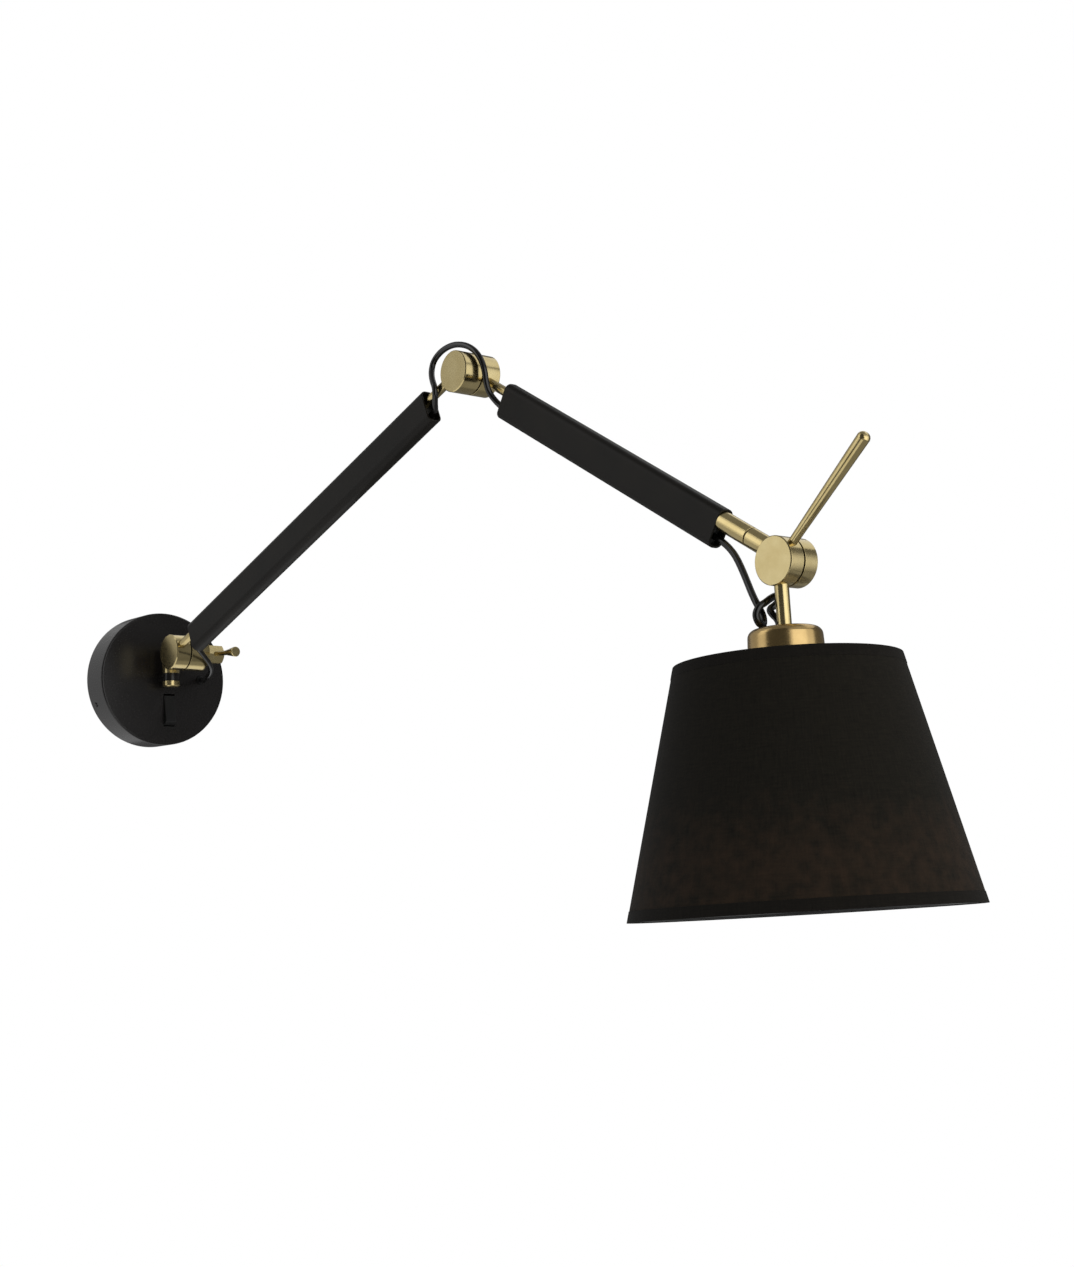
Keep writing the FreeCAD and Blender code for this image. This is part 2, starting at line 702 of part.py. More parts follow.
def plug(node, frame, start, end):
    solid = rounded_bar(node + "_solid", "sleeve_wall + plug_gap", start, end,
                        "sleeve_corner - sleeve_wall - plug_gap")
    length = "%s - (%s) + 2 * plug_length" % (end, start)
    keep(cut(node + "_cut", solid, [
        rod(node + "_rod_hole", "rod_radius + fixed_gap", length,
            ("0", "0", start + " - plug_length")),
        rod(node + "_cable_hole", "cable_radius + cable_gap", length,
            ("cable_drop", "0", start + " - plug_length")),
    ]), node, frame)


def arm_rod(node, frame, start, end):
    keep(turned(node + "_body", [
        ("0", start), ("rod_radius", start), ("rod_radius", end), ("0", end)]), node, frame)


rod_root = "(barrel_radius - seat_depth + fixed_gap)"
lower_end = "(lower_length - lower_sleeve_margin)"
upper_end = "(upper_length - upper_sleeve_margin)"
LOWER_ROD = turned_frame(shifted(LOWER, 0, size("lower_side"), 0), "x")
UPPER_ROD = turned_frame(shifted(UPPER, 0, size("upper_side"), 0), "x")
arm_rod("lower_rod", LOWER_ROD, rod_root, "lower_length - " + rod_root)
sleeve("lower_sleeve", LOWER_ROD, "lower_sleeve_start", lower_end)
plug("lower_plug_inner", LOWER_ROD, "lower_sleeve_start + plug_recess",
     "lower_sleeve_start + plug_recess + plug_length")
plug("lower_plug_outer", LOWER_ROD, lower_end + " - plug_recess - plug_length",
     lower_end + " - plug_recess")

lower_half = barrel_half("elbow_lower_blank", "left", "barrel_half", fixed_bore, blind)
screw_hole = rod("elbow_set_hole", "set_screw_radius + fixed_gap", "barrel_radius",
                 ("axle_radius + running_gap", "set_screw_side", "0"), "x")
keep(cut("elbow_lower_cut", lower_half, [
    seat_hole("elbow_lower_seat", "rod_radius", "lower_side", True), screw_hole]),
    "elbow_half_lower", LOWER_END)
set_frame = turned_frame(shifted(LOWER_END, 0, size("set_screw_side"), 0), "x")
set_root = "(axle_radius + 2 * running_gap)"
set_body = rod("set_screw_body", "set_screw_radius",
               "barrel_radius - barrel_chamfer / 2 - " + set_root, ("0", "0", set_root))
set_slot = block("set_screw_slot",
                 ("set_screw_radius / 3", "4 * set_screw_radius", "set_screw_radius"),
                 ("-set_screw_radius / 6", "-2 * set_screw_radius",
                  "barrel_radius - barrel_chamfer / 2 - set_slot_depth"))
keep(cut("set_screw_cut", set_body, [set_slot]), "elbow_set_screw", set_frame)
joint_screw("elbow_axle", LOWER_END, "barrel_half")

upper_half = barrel_half("elbow_upper_blank", "right", "barrel_half", run_bore, recess=True)
keep(cut("elbow_upper_cut", upper_half, [
    seat_hole("elbow_upper_seat", "rod_radius", "upper_side")]), "elbow_half_upper", UPPER)
friction_washer("elbow_washer", ELBOW)
arm_rod("upper_rod", UPPER_ROD, rod_root, "upper_length - spigot_end")
sleeve("upper_sleeve", UPPER_ROD, "upper_sleeve_start", upper_end)
plug("upper_plug_inner", UPPER_ROD, "upper_sleeve_start + plug_recess",
     "upper_sleeve_start + plug_recess + plug_length")
plug("upper_plug_outer", UPPER_ROD, upper_end + " - plug_recess - plug_length",
     upper_end + " - plug_recess")

# ---- wrist -------------------------------------------------------------------
socket_bore = "rod_radius + fixed_gap"
socket_end = "(upper_length - twist_from_wrist - twist_gap / 2)"
keep(turned("twist_socket_body", [
    (socket_bore, upper_end), ("tube_radius", upper_end),
    ("tube_radius", socket_end + " - tube_chamfer"), ("tube_radius - tube_chamfer", socket_end),
    (socket_bore, socket_end)]), "twist_socket", UPPER_ROD)
spigot_bore = "rod_radius + running_gap"
twist_start = "-(twist_from_wrist - twist_gap / 2)"
neck_end = "-(barrel_radius - seat_depth + fixed_gap)"
keep(turned("twist_collar_body", [
    (spigot_bore, twist_start), ("tube_radius - tube_chamfer", twist_start),
    ("tube_radius", twist_start + " + tube_chamfer"),
    ("tube_radius", "-tube_to_neck - tube_chamfer"),
    ("tube_radius - tube_chamfer", "-tube_to_neck"), ("wrist_neck_radius", "-tube_to_neck"),
    ("wrist_neck_radius", neck_end), ("0", neck_end),
    ("0", "-spigot_end + twist_gap"), (spigot_bore, "-spigot_end + twist_gap")]),
    "twist_collar", turned_frame(shifted(UPPER_END, 0, size("upper_side"), 0), "x"))
wrist_right = barrel_half("wrist_fixed_blank", "right", "wrist_half", fixed_bore, recess=True)
keep(cut("wrist_fixed_cut", wrist_right, [
    seat_hole("wrist_neck_seat", "wrist_neck_radius", "upper_side", True)]),
    "wrist_half_fixed", UPPER_END)
friction_washer("wrist_washer", UPPER_END)
joint_screw("wrist_axle", UPPER_END, "wrist_half")

# ---- head --------------------------------------------------------------------
wrist_left = barrel_half("wrist_head_blank", "left", "wrist_half", run_bore, blind)
handle_turn = size("handle_angle") - (size("head_lean") - 90)
handle_seat = rod("handle_seat", "handle_root_radius + fixed_gap", "2 * seat_depth")
handle_local = Placement(ORIGIN, Rotation(Y_AXIS, -handle_turn))
handle_frame = turned_frame(shifted(handle_local, 0, size("stem_side"), 0), "x")
handle_seat.Placement = shifted(
    handle_frame, 0, 0, size("barrel_radius") - size("seat_depth"))
keep(cut("wrist_head_cut", wrist_left, [
    seat_hole("wrist_stem_seat", "stem_radius", "stem_side"), handle_seat]),
    "wrist_half_head", HEAD)
nut_end = "(cup_top + cup_wall + cup_nut_height)"
stem_end = "(%s + holder_stem_depth - running_gap)" % nut_end
keep(turned("stem_body", [
    ("0", rod_root), ("stem_radius", rod_root), ("stem_radius", stem_end), ("0", stem_end)]),
    "stem", STEM)
handle_body = turned("handle_body", [
    ("0", rod_root), ("handle_root_radius", rod_root),
    ("handle_root_radius", "barrel_radius + barrel_chamfer"),
    ("handle_tip_radius", "handle_length"), ("0", "handle_length")])
rounded(handle_body, "handle_tip_round", "handle_tip_rounding",
        lambda edge: is_circle(edge, size("handle_tip_radius"), size("handle_length")))
keep(handle_body, "aim_handle", HEAD * handle_frame)

stem_hole = "stem_radius + running_gap"
cup_body = turned("cup_body", [
    (stem_hole, "cup_top"), ("cup_top_radius", "cup_top"),
    ("cup_radius", "cup_top + cup_cone"), ("cup_radius", "cup_top + cup_height"),
    ("cup_radius - cup_wall", "cup_top + cup_height"),
    ("cup_radius - cup_wall", "cup_top + cup_cone"),
    ("cup_top_radius - cup_wall", "cup_top + cup_wall"), (stem_hole, "cup_top + cup_wall")])
cup_top = size("cup_top")
rounded(cup_body, "cup_inner_round", "cup_fillet - cup_wall", lambda edge: is_circle(
    edge, size("cup_top_radius") - size("cup_wall"), cup_top + size("cup_wall")))
rounded(cup_body, "cup_outer_round", "cup_fillet",
        lambda edge: is_circle(edge, size("cup_top_radius"), cup_top))
keep(cut("cup_cut", cup_body, [rod(
    "cup_gland_hole", "grommet_neck_radius + fixed_gap", "3 * cup_wall",
    ("gland_back", "gland_side", "cup_top - cup_wall"))]), "cup", STEM)
keep(cut("cup_nut_cut", hexagon(
    "cup_nut_blank", "cup_nut_across", "cup_nut_height", ("0", "0", "cup_top + cup_wall")),
    [rod("cup_nut_bore", "stem_radius + fixed_gap", "3 * cup_nut_height",
         ("0", "0", "cup_top + cup_wall - cup_nut_height"))]), "cup_nut", STEM)


def grommet(node, frame, wall):
    """Bush in a wall that starts at 0 and runs to -wall, with its flange on the front."""
    bore = "cable_radius + cable_gap"
    back = "-(%s)" % wall
    lip = back + " - gland_flange"
    keep(turned(node + "_body", [
        (bore, "gland_flange"), ("grommet_flange_radius", "gland_flange"),
        ("grommet_flange_radius", "0"), ("grommet_neck_radius", "0"),
        ("grommet_neck_radius", back), ("grommet_neck_radius + grommet_inner_lip", back),
        ("grommet_neck_radius + grommet_inner_lip", lip), (bore, lip)]), node, frame)


grommet("cable_grommet", shifted(WALL, size("grommet_across"), 0, size("canopy_depth")),
        "canopy_wall")
gland_frame = shifted(STEM, size("gland_back"), size("gland_side"), size("cup_top"))
grommet("cable_gland", gland_frame * Placement(ORIGIN, Rotation(X_AXIS, 180)), "cup_wall")

keep(turned("holder_body", [
    ("stem_radius + fixed_gap", nut_end), ("holder_radius", nut_end),
    ("holder_radius", "holder_flange_start"), ("holder_flange_radius", "holder_flange_start"),
    ("holder_flange_radius", "holder_flange_end"), ("holder_skirt_radius", "holder_flange_end"),
    ("holder_skirt_radius", "holder_end"), ("socket_radius", "holder_end"),
    ("socket_radius", "socket_floor"), ("0", "socket_floor"),
    ("0", nut_end + " + holder_stem_depth"),
    ("stem_radius + fixed_gap", nut_end + " + holder_stem_depth")]),
    "lampholder_body", STEM)
shell_start = "(socket_floor + shell_lift)"
keep(turned("shell_body", [
    ("shell_radius - shell_wall", shell_start), ("shell_radius", shell_start),
    ("shell_radius", shell_start + " + shell_length"),
    ("shell_radius - shell_wall", shell_start + " + shell_length")]), "lampholder_shell", STEM)
keep(turned("contact_body", [
    ("0", "socket_floor"), ("contact_radius", "socket_floor"),
    ("contact_radius", "socket_floor + contact_height / 2"),
    ("contact_radius / 2", "socket_floor + contact_height"),
    ("0", "socket_floor + contact_height")]), "lampholder_contact", STEM)
carrier_end = "(holder_flange_end + carrier_thick)"
ring_bore = "holder_skirt_radius + 2 * running_gap"
keep(turned("ring_nut_body", [
    (ring_bore, carrier_end), ("nut_ring_radius", carrier_end),
    ("nut_ring_radius", carrier_end + " + nut_ring_flange"),
    ("nut_ring_neck", carrier_end + " + nut_ring_height"),
    (ring_bore, carrier_end + " + nut_ring_height")]), "shade_ring_nut", STEM)

# ---- shade -------------------------------------------------------------------
slope = "(shade_bottom_radius - shade_top_radius) / (shade_bottom - shade_top)"
wire_clear = "(wire_radius + running_gap) * sqrt(1 + (%s)^2)" % slope
top_ring_radius = "(shade_top_radius - shade_wall + wire_inset * %s - %s)" % (slope, wire_clear)
end_ring_radius = "(shade_bottom_radius - shade_wall - wire_inset * %s - %s)" % (slope, wire_clear)
carrier_middle = "(holder_flange_end + carrier_thick / 2)"
ring_height = "(shade_top + wire_inset)"
arm_start = "(carrier_ring_radius - wire_radius)"


def wire_ring(name, radius, height):
    ring = doc.addObject("Part::Torus", name)
    bind(ring, "Radius1", radius)
    bind(ring, "Radius2", "wire_radius")
    return place(ring, ("0", "0", height), "z")


doc.recompute()
top_ring = wire_ring("carrier_top_ring", top_ring_radius, ring_height)
doc.recompute()
arm_run = float(top_ring.Radius1) - size("carrier_ring_radius") + size("wire_radius")
arm_rise = size("holder_flange_end") + size("carrier_thick") / 2 - size("shade_top")
arm_rise -= size("wire_inset")
carrier_items = [cut("carrier_hub", rod(
    "carrier_disc", "carrier_ring_radius", "carrier_thick", ("0", "0", "holder_flange_end")),
    [rod("carrier_bore", ring_bore, "3 * carrier_thick",
         ("0", "0", "holder_flange_end - carrier_thick"))]), top_ring]
arm_length = "sqrt((%s - %s)^2 + (%s - %s)^2)" % (
    top_ring_radius, arm_start, carrier_middle, ring_height)
for index in range(3):
    spoke = rod("carrier_spoke_%d" % index, "spoke_radius", arm_length)
    spoke_turn = Rotation(Z_AXIS, 120 * index + size("spoke_angle"))
    lean = Rotation(Y_AXIS, math.degrees(math.atan2(arm_run, -arm_rise)))
    foot = spoke_turn.multVec(Vector(size("carrier_ring_radius") - size("wire_radius"), 0, 0))
    foot.z = size("holder_flange_end") + size("carrier_thick") / 2
    spoke.Placement = Placement(foot, spoke_turn * lean)
    carrier_items.append(spoke)
keep(joined("carrier_joined", carrier_items), "shade_carrier", STEM)
keep(wire_ring("shade_end_ring", end_ring_radius, "0"), "shade_bottom_ring",
     shifted(STEM, 0, 0, size("shade_bottom") - size("wire_inset")))
keep(turned("shade_body", [
    ("shade_top_radius - shade_wall", "shade_top"), ("shade_top_radius", "shade_top"),
    ("shade_bottom_radius", "shade_bottom"),
    ("shade_bottom_radius - shade_wall", "shade_bottom")]), "shade_shell", STEM)


# ---- cable -------------------------------------------------------------------
bend_share = 0.45  # how much of each straight run a bend takes up
volume_slack = 0.002


def cable(node, points):
    """Round cable along straight runs joined by tangent arcs, solid from end to end."""
    bends = []
    for before, corner, after in zip(points, points[1:], points[2:]):
        back = before - corner
        ahead = after - corner
        half_turn = (math.pi - back.getAngle(ahead)) / 2
        setback = bend_share * min(back.Length, ahead.Length)
        back.normalize()
        ahead.normalize()
        middle = back + ahead
        middle.normalize()
        radius = setback / math.tan(half_turn)
        sagitta = radius / math.cos(half_turn) - radius
        bends.append((corner + back * setback, corner + middle * sagitta,
                      corner + ahead * setback, radius))
    edges = []
    last = points[0]
    for first, through, after, radius in bends:
        edges.append(Part.LineSegment(last, first).toShape())
        edges.append(Part.Arc(first, through, after).toShape())
        last = after
    edges.append(Part.LineSegment(last, points[-1]).toShape())
    path = Part.Wire(edges)
    section = Part.Wire(Part.Circle(points[0], points[1] - points[0],
                                    size("cable_radius")).toShape())
    tube = path.makePipeShell([section], True, False)
    expected = math.pi * size("cable_radius") ** 2 * path.Length
    radii = " ".join("%.1f" % bend[3] for bend in bends)
    print("%s: length %.1f, volume ratio %.5f, radii %s" % (
        node, path.Length, tube.Volume / expected, radii))
    if abs(tube.Volume / expected - 1) > volume_slack:
        raise RuntimeError("%s does not fill its route" % node)
    item = doc.addObject("Part::Feature", node)
    item.Shape = tube
    keep(item, node, Placement())


def spots(frame, rows):
    """Points of a route given on the cable's grid as (across, outwards, up) from a joint."""
    grid = size("cable_grid")
    return [frame.multVec(Vector(outward, across, up) * grid) for across, outward, up in rows]


def on_arm(frame, distance):
    return frame.multVec(Vector(size("cable_drop"), 0, distance))


inside = size("plug_recess") + size("cable_joint_depth")
mouth = size("cable_mouth")
lower_in = size("lower_sleeve_start")
lower_out = size("lower_length") - size("lower_sleeve_margin")
upper_in = size("upper_sleeve_start")
upper_out = size("upper_length") - size("upper_sleeve_margin")

wall_route = spots(SHOULDER, [(17.7, 12, -15.8), (20.9, 0, -19.4), (24.5, -11, -21),
                              (30.5, -22.5, -20.2)])
under_shoulder = (wall_route[0] + wall_route[1]) / 2
canopy_exit = Vector(size("grommet_across"), -size("canopy_depth"), 0)
cable("wall_cable_lead", [under_shoulder] + wall_route[1:] + [
    canopy_exit - Y_AXIS * size("cable_exit_run"), canopy_exit + Y_AXIS * size("cable_end_depth")])
cable("shoulder_cable_loop", [under_shoulder, wall_route[0]] + spots(SHOULDER, [
    (10.9, 22, -11.3), (0.7, 28.5, -4.5)]) + [
    on_arm(LOWER_ROD, lower_in - mouth), on_arm(LOWER_ROD, lower_in + inside)])
cable("lower_cable_run", [on_arm(LOWER_ROD, lower_in + inside),
                          on_arm(LOWER_ROD, lower_out - inside)])
cable("elbow_cable_loop", [
    on_arm(LOWER_ROD, lower_out - inside), on_arm(LOWER_ROD, lower_out + mouth)] + spots(ELBOW, [
        (-14.5, -22, -18), (-17.2, -17.5, -9.5), (-15, -24, -1.5), (-12, -28.8, 6.5),
        (-10, -28, 14.5), (-8.7, -20.6, 19.8), (-7.5, -11.5, 21.8), (-6.5, -3, 20.9),
        (-5.5, 5.6, 17.8), (-5, 13.3, 12.2), (-4, 18, 5), (-3, 19.8, -2.9), (-1, 18.4, -10.5),
        (2.5, 18.2, -18)]) + [
            on_arm(UPPER_ROD, upper_in - mouth), on_arm(UPPER_ROD, upper_in + inside)])
cable("upper_cable_run", [on_arm(UPPER_ROD, upper_in + inside),
                          on_arm(UPPER_ROD, upper_out - inside)])
wrist_route = spots(WRIST, [(4.6, -49.5, 15.6), (2.8, -42.6, 9.4), (0, -35.5, 1.05),
                            (-3, -29, -7)])
past_twist = (wrist_route[2] + wrist_route[3]) / 2
cable("wrist_cable_run", [
    on_arm(UPPER_ROD, upper_out - inside), on_arm(UPPER_ROD, upper_out + mouth)]
    + wrist_route[:3] + [past_twist])
# the knot before the cup: in behind, across under itself, up in front, over and down
gland_top = gland_frame.multVec(Vector(0, 0, -size("cable_gland_run")))
gland_inside = gland_frame.multVec(Vector(0, 0, size("cable_end_depth")))
cable("head_cable_lead", [past_twist, wrist_route[3]] + spots(WRIST, [
    (-6, -21.8, -16.9), (-8, -16.2, -23.6), (-6.4, -13.3, -30), (-9.2, -10.6, -36.4),
    (-14.4, -9.7, -35.6), (-16.9, -9.9, -30.4), (-15, -8.4, -25.6), (-10.5, -7.7, -23.4),
    (-5.3, -8.3, -20.4), (0.5, -9.3, -18.2), (6.2, -11.2, -18.6), (6.8, -15.2, -22.4),
    (1.4, -16, -25.4), (0.4, -12.8, -28.8), (1.3, -9.6, -31.8)]) + [gland_top, gland_inside])

# ---- write the pieces --------------------------------------------------------
doc.recompute()
for item in doc.Objects:
    if "Invalid" in item.State or "Error" in item.State:
        raise RuntimeError("%s failed: %s" % (item.Name, item.State))
os.makedirs("parts", exist_ok=True)
for node, item in pieces.items():
    shape = item.Shape
    if shape.isNull() or not shape.isValid() or shape.Volume <= 0:
        raise RuntimeError("%s has no sound shape" % node)
    shape.exportStep("parts/%s.step" % node)
print("%d pieces written" % len(pieces))
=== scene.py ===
import bpy
import bmesh
import math
from mathutils import Matrix, Vector


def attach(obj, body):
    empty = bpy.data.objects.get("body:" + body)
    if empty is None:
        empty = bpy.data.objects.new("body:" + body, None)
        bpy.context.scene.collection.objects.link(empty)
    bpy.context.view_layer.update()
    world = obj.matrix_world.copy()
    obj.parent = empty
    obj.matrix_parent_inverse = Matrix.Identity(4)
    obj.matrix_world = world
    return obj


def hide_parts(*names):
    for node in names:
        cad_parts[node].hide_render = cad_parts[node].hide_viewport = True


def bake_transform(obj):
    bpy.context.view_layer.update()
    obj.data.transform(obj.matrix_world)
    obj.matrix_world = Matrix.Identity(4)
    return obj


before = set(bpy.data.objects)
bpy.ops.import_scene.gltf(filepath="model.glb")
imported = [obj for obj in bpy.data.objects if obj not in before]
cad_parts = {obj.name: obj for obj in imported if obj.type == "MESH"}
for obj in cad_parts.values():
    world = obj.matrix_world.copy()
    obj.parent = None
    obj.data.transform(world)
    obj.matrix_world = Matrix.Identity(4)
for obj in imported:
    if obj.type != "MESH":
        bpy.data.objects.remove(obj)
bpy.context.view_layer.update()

mm = 0.001
print("frame loaded:", len(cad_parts), "nodes")

# the lamp as photographed, in degrees and mm; lengths run from joint to joint
pose = {
    "panAngle": 4.5, "panReach": 44.5, "shoulder": (26.42, -2.08, 18),
    "lowerLength": 418, "lowerAngle": 22, "upperLength": 334, "upperAngle": -30.5,
    "headAngle": -87,
}
rodAside = {"lower": -10.5, "upper": 6.5, "stem": -5.5}  # how far right of their joints

# the lamp's own directions: outward from the wall, across to the right, and up
turn = math.radians(pose["panAngle"])
outward = Vector((math.sin(turn), -math.cos(turn), 0))
across = Vector((math.cos(turn), math.sin(turn), 0))
upward = Vector((0, 0, 1))


def armFrame(origin, angle):
    # X along the arm, Y across it, Z square to both
    lean = math.radians(angle)
    along = outward * math.cos(lean) + upward * math.sin(lean)
    lift = upward * math.cos(lean) - outward * math.sin(lean)
    matrix = Matrix((along, across, lift)).transposed().to_4x4()
    matrix.translation = origin
    return matrix


def shifted(matrix, x, y, z):
    # moved along its own axes, in mm
    return matrix @ Matrix.Translation(Vector((x, y, z)) * mm)


def aboutX(matrix):
    # Z, the axis of a turned piece, now runs along X
    return matrix @ Matrix.Rotation(math.radians(90), 4, "Y")


def aboutY(matrix):
    # Z now runs along Y
    return matrix @ Matrix.Rotation(math.radians(-90), 4, "X")


# each joint's middle and the frames of what meets there, from the wall to the head
swivelFrame = armFrame(Vector((0, -pose["panReach"] * mm, 0)), 0)
shoulderPoint = swivelFrame @ (Vector(pose["shoulder"]) * mm)
shoulderFrame = armFrame(shoulderPoint, 0)
lowerFrame = armFrame(shoulderPoint, pose["lowerAngle"])
elbowPoint = lowerFrame @ Vector((pose["lowerLength"] * mm, 0, 0))
lowerEnd = armFrame(elbowPoint, pose["lowerAngle"])
elbowFrame = armFrame(elbowPoint, 0)
upperFrame = armFrame(elbowPoint, pose["upperAngle"])
wristPoint = upperFrame @ Vector((pose["upperLength"] * mm, 0, 0))
upperEnd = armFrame(wristPoint, pose["upperAngle"])
wristFrame = armFrame(wristPoint, 0)
headFrame = armFrame(wristPoint, pose["headAngle"])
stemFrame = aboutX(shifted(headFrame, 0, rodAside["stem"], 0))
lowerRodFrame = aboutX(shifted(lowerFrame, 0, rodAside["lower"], 0))
upperRodFrame = aboutX(shifted(upperFrame, 0, rodAside["upper"], 0))


def inScene(name, data):
    obj = bpy.data.objects.new(name, data)
    bpy.context.scene.collection.objects.link(obj)
    return obj


def srgb(hexText):
    # a hex colour as the linear values that a socket takes
    parts = [int(hexText[i:i + 2], 16) / 255 for i in (0, 2, 4)]
    linear = [c / 12.92 if c <= 0.04045 else ((c + 0.055) / 1.055) ** 2.4 for c in parts]
    return (*linear, 1)


def addNode(tree, kind, values=None, links=None, **settings):
    node = tree.nodes.new(kind)
    for name, value in settings.items():
        setattr(node, name, value)
    for socket, value in (values or {}).items():
        node.inputs[socket].default_value = value
    for socket, source in (links or {}).items():
        tree.links.new(source, node.inputs[socket])
    return node


def newMaterial(name, color, metallic, roughness, **extra):
    # extra names more of the shader's sockets, with _ for each blank
    material = bpy.data.materials.new(name)
    material.use_nodes = True
    shader = material.node_tree.nodes["Principled BSDF"]
    shader.inputs["Base Color"].default_value = srgb(color)
    shader.inputs["Metallic"].default_value = metallic
    shader.inputs["Roughness"].default_value = roughness
    for socket, value in extra.items():
        shader.inputs[socket.replace("_", " ")].default_value = value
    return material, material.node_tree, shader


def objectNoise(tree, size, detail=2.0):
    # blotches or grain of a given size in mm, fixed to the piece
    coords = addNode(tree, "ShaderNodeTexCoord")
    return addNode(tree, "ShaderNodeTexNoise", {"Scale": 1 / (size * mm), "Detail": detail},
                   {"Vector": coords.outputs["Object"]})


def turnedMap(tree):
    # how far round a turned piece, from 0 to 1, and how far along its profile in metres
    mapped = addNode(tree, "ShaderNodeUVMap", uv_map="turned")
    split = addNode(tree, "ShaderNodeSeparateXYZ", links={"Vector": mapped.outputs["UV"]})
    return split.outputs["X"], split.outputs["Y"]


def raised(tree, shader, height, relief):
    # relief is a strength and a depth in mm
    bump = addNode(tree, "ShaderNodeBump", {"Strength": relief[0], "Distance": relief[1] * mm},
                   {"Height": height})
    tree.links.new(bump.outputs["Normal"], shader.inputs["Normal"])


noiseSpan = {"From Min": 0.3, "From Max": 0.7}  # where nearly all the values of a noise lie


def textured(tree, shader, grain, relief, patches, tones, rough=None):
    # the grain stands up and may move the roughness between two values; patches move the colour
    # slowly between two tones of the same finish
    raised(tree, shader, grain.outputs["Fac"], relief)
    if rough:
        sheen = addNode(tree, "ShaderNodeMapRange",
                        {**noiseSpan, "To Min": rough[0], "To Max": rough[1]},
                        {"Value": grain.outputs["Fac"]})
        tree.links.new(sheen.outputs["Result"], shader.inputs["Roughness"])
    share = addNode(tree, "ShaderNodeMapRange", noiseSpan, {"Value": patches.outputs["Fac"]})
    tone = addNode(tree, "ShaderNodeMix", {"A": srgb(tones[0]), "B": srgb(tones[1])},
                   {0: share.outputs["Result"]}, data_type="RGBA")
    tree.links.new(tone.outputs[2], shader.inputs["Base Color"])


def turnedMetal(name, tones, roughness, linePitch, lineStrength):
    # brass turned on a lathe and left satin: fine lines run round the piece, from its own map,
    # and draw each highlight out a little along the axis; they lie further apart than real
    # ones, which wouldn't show
    material, tree, shader = newMaterial(name, tones[1], 1.0, roughness)
    around, along = turnedMap(tree)
    angle = addNode(tree, "ShaderNodeMath", {1: 2 * math.pi}, {0: around},
                    operation="MULTIPLY")
    sine = addNode(tree, "ShaderNodeMath", links={0: angle.outputs[0]}, operation="SINE")
    cosine = addNode(tree, "ShaderNodeMath", links={0: angle.outputs[0]}, operation="COSINE")
    scaled = addNode(tree, "ShaderNodeMath", {1: 1 / (linePitch * mm)}, {0: along},
                     operation="MULTIPLY")
    joined = addNode(tree, "ShaderNodeCombineXYZ", links={
        "X": sine.outputs[0], "Y": cosine.outputs[0], "Z": scaled.outputs[0]})
    lines = addNode(tree, "ShaderNodeTexNoise", {"Scale": 1.0, "Detail": 3.0},
                    {"Vector": joined.outputs[0]})
    textured(tree, shader, grain=lines, relief=(lineStrength, 0.05),
             rough=(roughness * 0.9, roughness * 1.15), patches=objectNoise(tree, 9), tones=tones)
    return material


def plainFinish(name, color, metallic, roughness, tones, grain, relief, patches=None,
                rough=None, detail=2.0, **extra):
    # a finish with no direction; grain and patches are sizes in mm, one pattern where only
    # the grain is given
    material, tree, shader = newMaterial(name, color, metallic, roughness, **extra)
    fine = objectNoise(tree, grain, detail)
    broad = objectNoise(tree, patches) if patches else fine
    textured(tree, shader, fine, relief, broad, tones, rough)
    return material


def canopyLacquer():
    # sprayed semi-gloss lacquer on spun steel: soft wide reflections and a faint orange peel
    return plainFinish("semiGlossBlackLacquer", "121110", 0.0, 0.24, ("110f0e", "151312"),
                       grain=1.2, relief=(0.08, 0.03), patches=20, rough=(0.22, 0.28),
                       Specular_IOR_Level=0.4)


def sleevePowder():
    # satin powder coat on drawn steel tube: a fine even pebble that spreads the light
    return plainFinish("satinBlackPowderCoat", "110f0b", 0.0, 0.4, ("0f0d09", "15120d"),
                       grain=0.5, relief=(0.15, 0.03), patches=25, rough=(0.36, 0.44),
                       Specular_IOR_Level=0.15)


def mouldedPlastic():
    # moulded black plastic: a dull skin, slightly uneven in tone
    return plainFinish("mouldedBlackPlastic", "101010", 0.0, 0.42, ("0d0d0d", "151514"),
                       grain=0.8, relief=(0.1, 0.03), patches=12, Specular_IOR_Level=0.3)


def cableJacket():
    # extruded soft black jacket: a thin highlight along its length, slightly wavy
    return plainFinish("extrudedCableJacket", "090808", 0.0, 0.16, ("080706", "0b0a09"),
                       grain=3, detail=1.0, relief=(0.05, 0.05), rough=(0.13, 0.19),
                       Specular_IOR_Level=0.5)


def zincPlate():
    # bright zinc on pressed steel: cool, slightly mottled
    return plainFinish("brightZincPlate", "b9bcbf", 1.0, 0.3, ("acb0b4", "bfc2c4"),
                       grain=2, relief=(0.06, 0.03), rough=(0.24, 0.4))


def tumbledBrass():
    # machined and tumbled brass for the small pieces: no turning lines, soft edges
    return plainFinish("tumbledBrass", "cdbc8a", 1.0, 0.26, ("c5b27f", "cfbf8e"),
                       grain=0.7, relief=(0.04, 0.03), patches=6, rough=(0.23, 0.3))


def shadeLining():
    # pale matt film laminated inside the shade, faintly marbled
    return plainFinish("paleShadeLining", "d9d2c4", 0.0, 0.6, ("d3ccbd", "dcd6c9"),
                       grain=6, relief=(0.08, 0.05))


def wireEnamel():
    # black enamelled spring wire: a thin glossy skin
    return plainFinish("blackEnamelledWire", "111111", 0.0, 0.3, ("0e0e0e", "151515"),
                       grain=1.5, relief=(0.08, 0.03))


